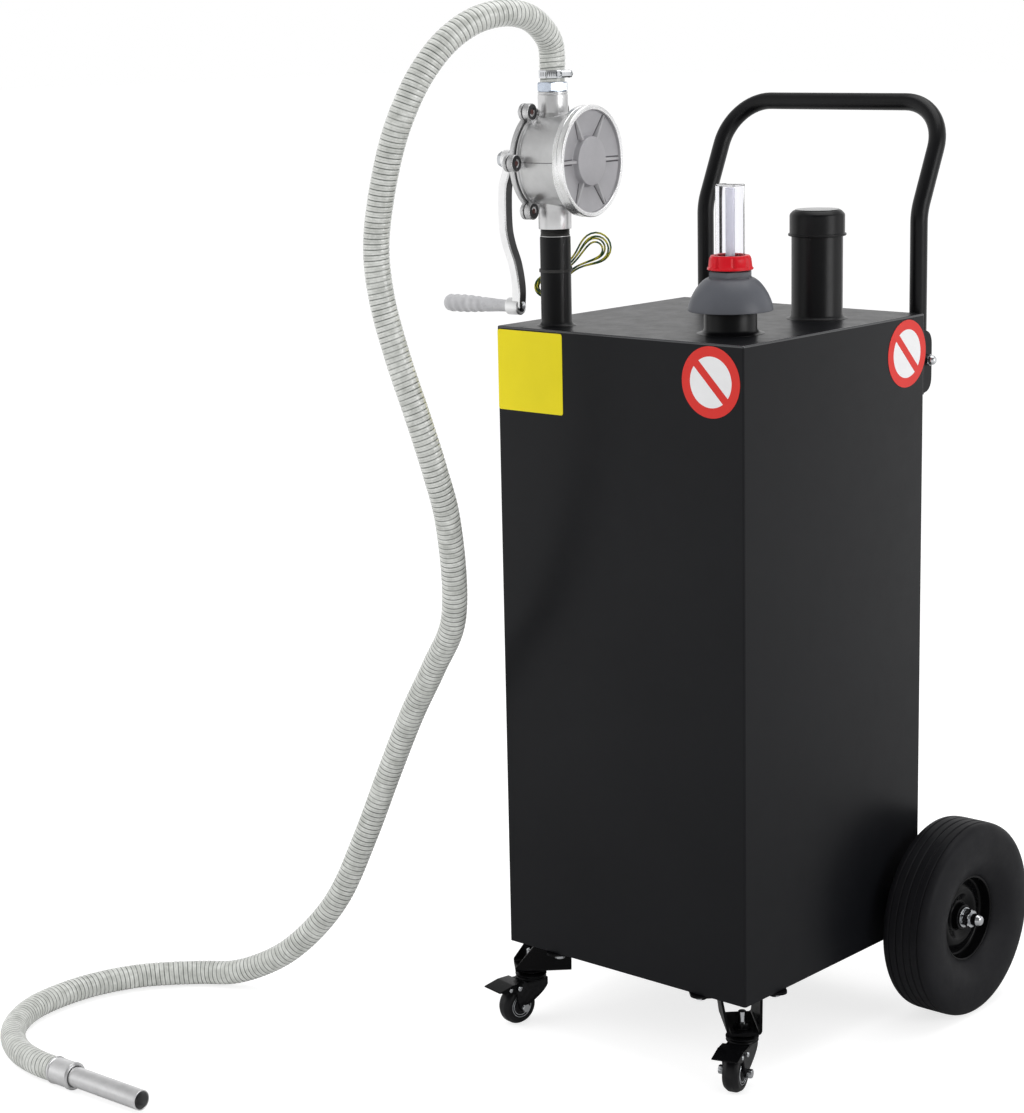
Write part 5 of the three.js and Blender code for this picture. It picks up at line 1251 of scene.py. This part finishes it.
def makeCasters():
    c = caster
    for side, word in bothSides:
        corner = spot(side * tank["half"], -tank["half"]) @ turn(135 if side > 0 else 45)
        piece("casterBracket_" + word, [
            (moved(hatBracketShape(), corner), "glossBlack"), (moved(hatBoltShape(), corner), "brightZinc"),
        ], "caddy", ["caster_bracket_" + word], bevel=0.5, sharp=45)
        swivel = spot(side * c["at"], -c["at"], -hat["drop"])
        race = lathed([
            (0, -4.5), (15, -4.5, 0.6), (16.6, -3.6, 0.6), (18, -2.6, 0.8), (18, -1.6, 0.8),
            (16.6, -0.3, 0.6), (0, -0.3),
        ], 80, steps=4)
        stemNut = merged(hexBar(17, 3.6, 10.4, 1.4), rodAt(11, 3.3, 4.6, 0.4))
        piece("casterStem_" + word, [
            (moved(merged(race, stemNut), swivel), "glossBlack"),
            (moved(rodAt(5, -4, 25, 0.8, 40), swivel), "brightZinc"),
        ], "caddy", ["caster_stem_" + word], sharp=30)
        here = swivel @ turn(c["turns"][word])
        fork = "caster_" + word
        piece("casterFork_" + word, [
            (moved(forkShape(), here), "glossBlack"), (moved(rivetShape(), here), "brightZinc"),
        ], fork, ["caster_fork_" + word], sharp=40)
        hub = here @ spot(c["trail"], 0, -c["drop"]) @ alongY
        piece("casterRoller_" + word, [
            (moved(rollerShape(), hub), "rollerRubber"), (moved(rollerRings(), hub), "brightZinc"),
        ], "caster_%s_wheel" % word, ["caster_wheel_" + word])
        reach, end = c["forkInside"] + c["cheek"] + 0.3, c["boltEnd"]
        bolt = merged(rodAt(4, -end + 0.5, end - 0.5, 0.5, 32), hexBar(10, -end, -reach, 0.8),
                      hexBar(10, reach, end, 0.8))
        piece("casterBolt_" + word, [(moved(bolt, hub), "brightZinc")], fork, ["caster_bolt_" + word],
              sharp=30)
        pivot = here @ spot(pedal["along"], 0, pedal["rise"])
        piece("brakePedal_" + word, [
            (moved(pedalShape(), pivot), "glossBlack"), (moved(pedalRivetShape(), pivot), "brightZinc"),
        ], "brake_" + word, ["brake_pedal_" + word], bevel=0.35, sharp=50)


makeCasters()
print("casters made")


# Rotary hand pump: along X from the crank's side to the ribbed face

pump = {
    "barrel": 56, "chamber": 49, "rim": 67.4, "rimStart": 43, "face": 58, "recess": 9.5, "recessEdge": 4.5,
    "recessRadius": 61.5, "boss": 30, "joint": -14.6, "flange": 60, "flangeDepth": 2.4, "lugCircle": 68.75,
    "lugRadius": 10.5, "lugReach": 8.1, "coverLug": 4.8, "cover": 8.1, "coverRadius": 63, "coverFace": -16.2,
    "hub": 20, "hubReach": 50, "back": 35.4,
}
pumpFrame = atRiser(pumpAt["z"]) @ turn(pumpAt["turn"])
pumpAxle = pumpFrame @ alongX


# Six of a shape, turned about the pump's axle
def sixOf(shape):
    return merged(*[moved(shape, turn(60 * i, "X")) for i in range(6)])


def atLugs(shape):
    made = []
    for i in range(6):
        angle = fullTurn * i / 6
        here = spot(0, pump["lugCircle"] * math.cos(angle), pump["lugCircle"] * math.sin(angle))
        made.append(moved(shape, here, alongX))
    return merged(*made)


# The recess's six ribs, and the strip of painted shade that lies under each
def pumpRibs(floor, edge, face):
    rib = lofted([
        [(x, y, z) for y, z in ((28.5, -half), (61.8, -half), (61.8, half), (28.5, half))]
        for x, half in ((floor - 0.5, 2.5), (face - 4.2, 1.9), (face - 3.5, 1.3))
    ])
    shade = lofted([
        [(floor - 0.4, 31, z), (edge - 0.4, 60.6, z), (edge + 0.15, 60.6, z), (floor + 0.15, 31, z)]
        for z in (-3.6, 3.6)
    ])
    return sixOf(rib), sixOf(shade)


def pumpPorts():
    top = hollow([
        (12.8, 48), (20.5, 51), (18.5, 58, 3), (18.5, 79.2, 1.2), (17.6, 80, 0.4), (18.5, 80.8, 0.4),
        (18.5, 83, 1.2), (13.5, 83, 0.6), (12.8, 78), (12.8, 60),
    ], 80)
    bottom = hollow([
        (18.6, -50), (22.8, -50), (20.4, -60, 3), (20.4, -72), (20.35, -83, 1.2), (19.2, -83, 0.5),
        (18.6, -81),
    ], 80)
    return merged(top, bottom)


def makePumpBody():
    p = pump
    joint, face, start, rim = p["joint"], p["face"], p["rimStart"], p["rim"]
    barrel, flange, hollowEdge, lugRadius = p["barrel"], p["flange"], p["recessRadius"], p["lugRadius"]
    flangeBack, floor, edge = joint + p["flangeDepth"], face - p["recess"], face - p["recessEdge"]
    middle, lugEnd = (start + face) / 2, joint + p["lugReach"]
    body = lathed([
        (p["chamber"], joint), (flange, joint, 0.5), (flange, flangeBack, 0.8), (barrel, flangeBack, 1.5),
        (barrel, start, 1.5), (rim - 1, start, 0.4),
    ], 160, steps=6)
    band = lathed([
        (rim - 1, start), (rim, start + 1.2, 0.6), (rim, middle - 0.7, 0.3), (rim - 0.35, middle, 0.2),
        (rim, middle + 0.7, 0.3), (rim, face - 0.8, 0.6), (rim - 0.8, face, 0.4),
        (hollowEdge + 0.4, face, 0.5), (hollowEdge, face - 0.8),
    ], 160)
    recess = lathed([
        (hollowEdge, face - 0.8), (hollowEdge - 0.4, edge, 1.2), (p["boss"] + 0.4, floor, 1.5),
        (p["boss"] - 0.4, face - 1.0, 1.0), (0, face - 0.6),
    ], 160)
    back = turned([(0, p["back"]), (p["chamber"], p["back"]), (p["chamber"], joint)])
    ribs, paintedShades = pumpRibs(floor, edge, face)
    lug = lathed([(3.2, joint + 0.1), (lugRadius, joint + 0.1, 0.6), (lugRadius, lugEnd, 1.0),
                  (5.6, lugEnd)], 40)
    # The lugs' end faces, in the near-black aluminium: painted shade
    lugFacePaintedShade = turned([(9.4, lugEnd - 0.3), (9.4, lugEnd + 0.06), (5.6, lugEnd + 0.06), (5.4, lugEnd - 0.5),
                      (0, lugEnd - 0.5)], 40)
    # The mould's parting lines, coloured dark: painted shade
    seam = box(lugEnd, start, barrel - 1, barrel + 0.12, -0.4, 0.4)  # where the mould parted
    seams = [moved(seam, turn(90 * i, "X")) for i in range(4)]
    dot = rodAt(3.4, joint + 2, lugEnd - 0.1, 0.5, 32)
    webs = sixOf(box(joint + 0.1, lugEnd - 0.4, barrel - 2, p["lugCircle"], -6.5, 6.5))
    piece("pumpBody", [
        (moved(merged(body, back), pumpAxle), "castAluminium"), (moved(band, pumpAxle), "turnedAluminiumAndHighlight"),
        (moved(recess, pumpAxle), "castFace"), (moved(ribs, pumpFrame), "castFace"),
        (moved(merged(paintedShades, *seams), pumpFrame), "shadePaintedCast"),
        (moved(merged(atLugs(lug), webs), pumpFrame), "lugAluminium"),
        (moved(atLugs(lugFacePaintedShade), pumpFrame), "shadePaintedAluminium"), (moved(atLugs(dot), pumpFrame), "lugRed"),
        (moved(pumpPorts(), pumpFrame), "castAluminium"),
    ], "caddy", ["pump_body"], sharp=42)
    near = joint - 1.3
    gasket = turned([(p["chamber"], near), (flange - 0.8, near), (flange - 0.8, near + 1),
                     (p["chamber"], near + 1)], closed=True)
    piece("pumpGasket", [(moved(gasket, pumpAxle), "rollerRubber")], "caddy", ["pump_gasket"])


def makePumpCover():
    p = pump
    face, radius, lugRadius = p["coverFace"], p["coverRadius"], p["lugRadius"]
    back, foot, hub, end = face - p["cover"], face - p["coverLug"], p["hub"], -p["hubReach"]
    plate = lathed([
        (0, face), (radius, face, 0.8), (radius, back + 2, 1.5), (radius * 0.9, back, 3),
        (hub * 1.12, back - 1, 4), (hub, end + 1, 0.8), (hub - 1, end, 0.6), (7.4, end), (7.4, face),
    ], 128, steps=6)
    lug = lathed([(0, face), (lugRadius, face, 0.8), (lugRadius, foot, 1.2), (0, foot)], 40)
    head = merged(hexBar(10, foot - 4, foot, 0.9), rodAt(5.6, foot - 0.6, foot + 0.4, 0.2, 32))
    shank = rodAt(2.6, foot, p["joint"] + p["lugReach"] - 0.6, 0.3, 24)
    piece("pumpCover", [
        (moved(plate, pumpAxle), "castAluminium"), (moved(atLugs(lug), pumpFrame), "lugAluminium"),
        (moved(atLugs(merged(head, shank)), pumpFrame), "brightZinc"),
    ], "caddy", ["pump_cover"], sharp=40)
    near = end - 0.3
    nut = hexBar(30, near - 9, near, 2.0)
    piece("packingNut", [(moved(nut, pumpAxle), "brightZinc")], "caddy", ["packing_nut"], sharp=30)


def makeRotor():
    low, high = -13.2, 32.4
    drum = merged(rodAt(40, low, high, 0.5), rodAt(7, -74, -10, 0.8))
    vanes = [moved(box(low, high, 38, 48, -2.5, 2.5), turn(90 * i, "X")) for i in range(4)]
    lock = merged(hexBar(17, -80, -74, 1.2), rodAt(5, -82, -79, 0.8, 32))
    piece("pumpRotor", [
        (moved(merged(moved(drum, alongX), *vanes), pumpFrame), "turnedAluminiumAndHighlight"),
        (moved(lock, pumpAxle), "brightZinc"),
    ], "crank", ["pump_rotor"], sharp=30)


makePumpBody()
makePumpCover()
makeRotor()


# Crank: a flat bar bent out past the cover, its grip and pin

crank = {
    "throw": 181.5, "width": 16, "thickness": 12, "hub": 12, "start": 60.5, "depth": 13, "boss": 10.8,
    "bossStart": 53, "bossDepth": 19, "edge": 1.5, "steps": 60,
    "shares": [(0, 0.48), (0.08, 0.58), (0.17, 1.0), (0.28, 1.12), (0.49, 1.04), (0.6, 0.65), (0.7, 0.12),
               (0.81, -0.21), (0.9, -0.32), (1, -0.23)],
}
grip = {
    "foot": -72.3, "length": 99.5, "root": 7.5, "belly": 11.35, "rings": 5, "ringDepth": 0.95, "bore": 4.3,
}


# The arm's outer faces, its edges with a painted highlight and its side towards the pump with painted shade,
# as three shapes
def crankArmShapes():
    c = crank
    path, _ = splineThrough([
        Vector((-c["start"] - c["depth"] * out, 0, -c["throw"] * down)) for down, out in c["shares"]
    ], c["steps"])
    wide, deep, edge = c["width"] / 2, c["thickness"] / 2, c["edge"]
    section = [
        (deep - edge, -wide), (deep, -wide + edge), (deep, wide - edge), (deep - edge, wide),
        (-deep + edge, wide), (-deep, wide - edge), (-deep, -wide + edge), (-deep + edge, -wide),
    ]
    count = len(section)
    points, faces = swept(path, count, lambda i, k: section[k], start=Vector((1, 0, 0)))
    kinds = {"outside": [], "edges": [], "inner": []}
    for i, face in enumerate(faces):
        way = i % count if i < c["steps"] * count else count
        kinds["inner" if way == 1 else "edges" if way in (0, 2) else "outside"].append(face)
    return [(points, chosen) for chosen in kinds.values()]


def makeCrank():
    c = crank
    start, end = -c["start"], -c["start"] - c["depth"]
    hub = hollow([(7.3, end), (c["hub"], end, 1.5), (c["hub"], start, 1.5), (7.3, start)], 72)
    start, end = -c["bossStart"], -c["bossStart"] - c["bossDepth"]
    boss = hollow([(4.3, end), (c["boss"], end, 1.5), (c["boss"], start, 1.5), (4.3, start)], 64)
    outside, edges, inner = crankArmShapes()
    shape = merged(outside, moved(hub, alongX), moved(boss, spot(0, 0, -c["throw"]), alongX))
    piece("crankArm", [
        (moved(shape, pumpFrame), "armAluminium"), (moved(edges, pumpFrame), "turnedAluminiumAndHighlight"),
        (moved(inner, pumpFrame), "shadePaintedAluminium"),
    ], "crank", ["crank_arm"], sharp=44)


# The grip swells to its belly, with rings that climb round it, and closes to a rounded end
def makeGrip():
    g = grip
    foot, length, sides, steps = g["foot"], g["length"], 72, 96
    loops = [around(sides, height, lambda _: g["bore"]) for height in (foot - length + 7, foot)]
    for i in range(steps + 1):
        share = 0.998 * i / steps
        swell = g["root"] + (g["belly"] - g["root"]) * math.sin(min(1, share * 1.35) * math.pi / 2) ** 2
        blend = max(0, min(1, (share - 0.3) / 0.12) * min(1, (0.95 - share) / 0.06))
        close = math.sqrt(max(0.0, 1 - (max(0, share - 0.88) / 0.12) ** 2.4))
        phase = fullTurn * g["rings"] * (share - 0.36) / 0.56
        loops.append(around(sides, foot - length * share, lambda angle: (
            swell - g["ringDepth"] * blend * (0.5 + 0.5 * math.cos(phase + angle))) * close))
    here = pumpFrame @ spot(0, 0, -crank["throw"]) @ alongX
    piece("crankGrip", [(moved(lofted(loops), here), "gripPale")], "grip", ["crank_grip"], sharp=60)
    pin = merged(
        rodAt(4, foot - length + 7.3, -crank["bossStart"] + 1, 0.4, 32),
        lathed([(0, -52.7), (7, -52.7, 0.4), (6.6, -51.2, 0.8), (3.6, -49.6, 2), (0, -49.3)], 48),
    )
    piece("gripPin", [(moved(pin, here), "brightZinc")], "crank", ["grip_pin"])


makeCrank()
makeGrip()


# Outlet barb with its nut, and the hose's worm clamp

barb = {"flats": 35, "foot": 1090.3, "top": 1101.3, "radius": 11.7, "length": 24, "bore": 9}
clamp = {
    "foot": 1106.1, "height": 9.5, "inner": 15.7, "band": 1.1, "housing": 15, "screw": 4.2, "reach": 19,
    "slots": 9,
}


def makeBarb():
    b = barb
    radius, bore, top, end = b["radius"], b["bore"], b["top"], b["top"] + b["length"]
    stalk = [(bore, b["foot"] - 20), (12.4, b["foot"] - 20), (12.4, top)]
    for share in (0.1, 0.4, 0.7):
        stalk += [(radius, top + b["length"] * share), (radius - 1, top + b["length"] * (share + 0.25))]
    stalk += [(radius - 1, end), (bore, end)]
    shape = merged(turned(stalk, 64, closed=True), hexBar(b["flats"], b["foot"], top, 2.2))
    piece("hoseBarb", [(moved(shape, atRiser() @ turn(pumpAt["turn"])), "blueZinc")], "caddy",
          ["hose_barb"], sharp=30)


def makeClamp():
    c = clamp
    inner, outer, height = c["inner"], c["inner"] + c["band"], c["height"]
    half, screw = c["housing"] / 2, c["screw"]
    band = hollow([(inner, 0), (inner, height), (outer, height, 0.3), (outer, 0, 0.3)])
    outline = [(-1, 0.6), (6.5, 0.6), (8.2, 2.4), (8.2, height - 2.4), (6.5, height - 0.6),
               (-1, height - 0.6)]
    housing = moved(upright(outline, c["housing"]), spot(outer))
    worm = merged(
        rodAt(screw * 0.7, -c["reach"] / 2, c["reach"] / 2, 0.4, 24),
        hexBar(screw * 2, -c["reach"] / 2 - 1, -half, 0.8), rodAt(screw * 1.15, -half - 0.8, -half, 0.2, 24),
    )
    side = spot(outer + screw, 0, height / 2) @ turn(180) @ alongY
    here = atRiser(c["foot"]) @ turn(-pumpAt["turn"])
    # Dark marks on the band where its slots are: painted shade in place of the open slots
    mark = box(outer - 0.02, outer + 0.14, -0.35, 0.35, 2.2, height - 2.2)
    slots = [moved(mark, turn(-28 - 9 * i)) for i in range(c["slots"])]
    piece("hoseClamp", [
        (moved(merged(band, housing, moved(worm, side)), here), "brightZinc"),
        (moved(merged(*slots), here), "threadBlack"),
    ], "caddy", ["hose_clamp"], bevel=0.25, sharp=32)


makeBarb()
makeClamp()
print("pump, crank and outlet made")


# Welded brackets of the handle and the axle, and the cable tie

bracket = {"back": 190.3, "plate": 3, "lip": 6, "axleHalf": 150, "axleDrop": 28}


def cheekOutline(reach, height):
    nose = height / 4
    outline = [(0, 0), (reach - nose, 0)]
    for step in range(1, 9):
        t = step / 8
        outline.append((reach - nose * (1 - t) ** 2, nose * t * t))
    for step in range(9):
        t = step / 8
        outline.append((reach - nose * t * t, height - nose + nose * (2 * t - t * t)))
    return outline + [(0, height)]


def channelShape(inside, reach, height):
    plate = bracket["plate"]
    half = inside / 2 + plate
    back = box(-half - bracket["lip"], half + bracket["lip"], 0, plate, 0, height)
    cheek = moved(slab(cheekOutline(reach, height), 0, plate), turn(90), turn(90, "X"))
    return merged(back, moved(cheek, spot(half - plate)), moved(cheek, spot(-half)))


def makeBrackets():
    back, radius = bracket["back"], handle["radius"]
    forHandle = channelShape(2 * radius + 0.6, handle["legY"] - back + radius, 80)
    forAxle = channelShape(38, wheel["y"] - back + 14, 56)
    for side, word in bothSides:
        here = spot(side * handle["half"], back, handle["foot"])
        piece("handleBracket_" + word, [(moved(forHandle, here), "powderBlack")], "caddy",
              ["handle_bracket_" + word], bevel=0.5, sharp=50)
        here = spot(side * bracket["axleHalf"], back, wheel["z"] - bracket["axleDrop"])
        piece("axleBracket_" + word, [(moved(forAxle, here), "powderBlack")], "caddy",
              ["axle_bracket_" + word], bevel=0.5, sharp=50)


def makeTie():
    w = earthWire
    inner = riser["radius"] + 0.3
    band = turned([(inner, -2), (inner, 2), (inner + 1.2, 2), (inner + 1.2, -2)], closed=True)
    across = w["waist"] + w["loopsPerLayer"] * w["pitch"] + w["radius"] + 0.3
    deep = w["layer"] / 2 + w["radius"] + 0.3
    outer = rounded(corners(2 * across + 2.4, 2 * deep + 2.4, 1.6), closed=True, steps=4)
    hole = rounded(corners(2 * across, 2 * deep, 0.8), closed=True, steps=4)
    lock = moved(box(-2.6, 2.6, -2.2, 2.2, -2.8, 2.8), spot(across + 1.2))
    loop = moved(merged(frameSlab(outer, hole, -2, 2), lock), hankFrame(), turn(90, "Y"))
    strap = box(inner + 0.6, math.hypot(w["behind"], w["aside"]) - deep, -0.6, 0.6, -2, 2)
    toStrap = turn(math.degrees(math.atan2(w["behind"], w["aside"])) + w["turn"])
    shape = merged(band, loop, moved(strap, toStrap))
    piece("cableTie", [(moved(shape, atRiser(w["rise"])), "threadBlack")], "caddy", ["wire_tie"],
          bevel=0.2, sharp=40)


makeBrackets()
makeTie()


# Bare yellow plate and plain round signs, as stickers on the tank

sticker = {
    "lift": 0.35, "plateX": (-188.5, -84.0), "plateZ": (701.0, 801.0), "corner": 3, "radius": 42.3,
    "ring": 12, "bar": 10,
}
signs = [
    ("frontSign", (142.7, -tank["half"], 759.5), 0), ("rightSign", (tank["half"], 150.5, 758.7), 90),
]


def makeStickers():
    s = sticker
    lift, (lowX, highX), (lowZ, highZ) = s["lift"], s["plateX"], s["plateZ"]
    outline = rounded(corners(highX - lowX, highZ - lowZ, s["corner"]), closed=True)
    middle = spot((lowX + highX) / 2, -tank["half"], (lowZ + highZ) / 2) @ turn(90, "X")
    piece("yellowPlate", [(moved(slab(outline, 0.02, lift), middle), "stickerYellow")], "caddy", sharp=30)
    radius, within = s["radius"], s["radius"] - s["ring"]
    disc = rodAt(radius - 0.5, 0.02, lift, 0.1, 96)
    hoop = turned([(within, lift - 0.1), (radius - 0.6, lift - 0.1), (radius - 0.6, 0.02), (radius, 0.02),
                   (radius, lift + 0.04), (within, lift + 0.04)], closed=True)
    bar = box(-radius + 1.5, radius - 1.5, -s["bar"] / 2, s["bar"] / 2, lift, lift + 0.05)
    red = merged(hoop, moved(bar, turn(-45)))
    for name, at, way in signs:
        here = spot(*at) @ turn(way) @ turn(90, "X")
        piece(name, [(moved(disc, here), "signWhite"), (moved(red, here), "signRed")], "caddy", sharp=30)


makeStickers()


# What stays hidden inside the tank keeps its CAD form

inside = {
    "dip_tube": "powderBlack", "gauge_hanger": "brightZinc", "float_arm": "brightZinc",
    "gauge_float": "domeGrey",
}
for thing in bpy.data.objects:
    if thing.type == "MESH" and thing.name in inside:
        for slot in thing.material_slots:
            slot.material = finishes[inside[thing.name]]["material"]
print("all pieces made")
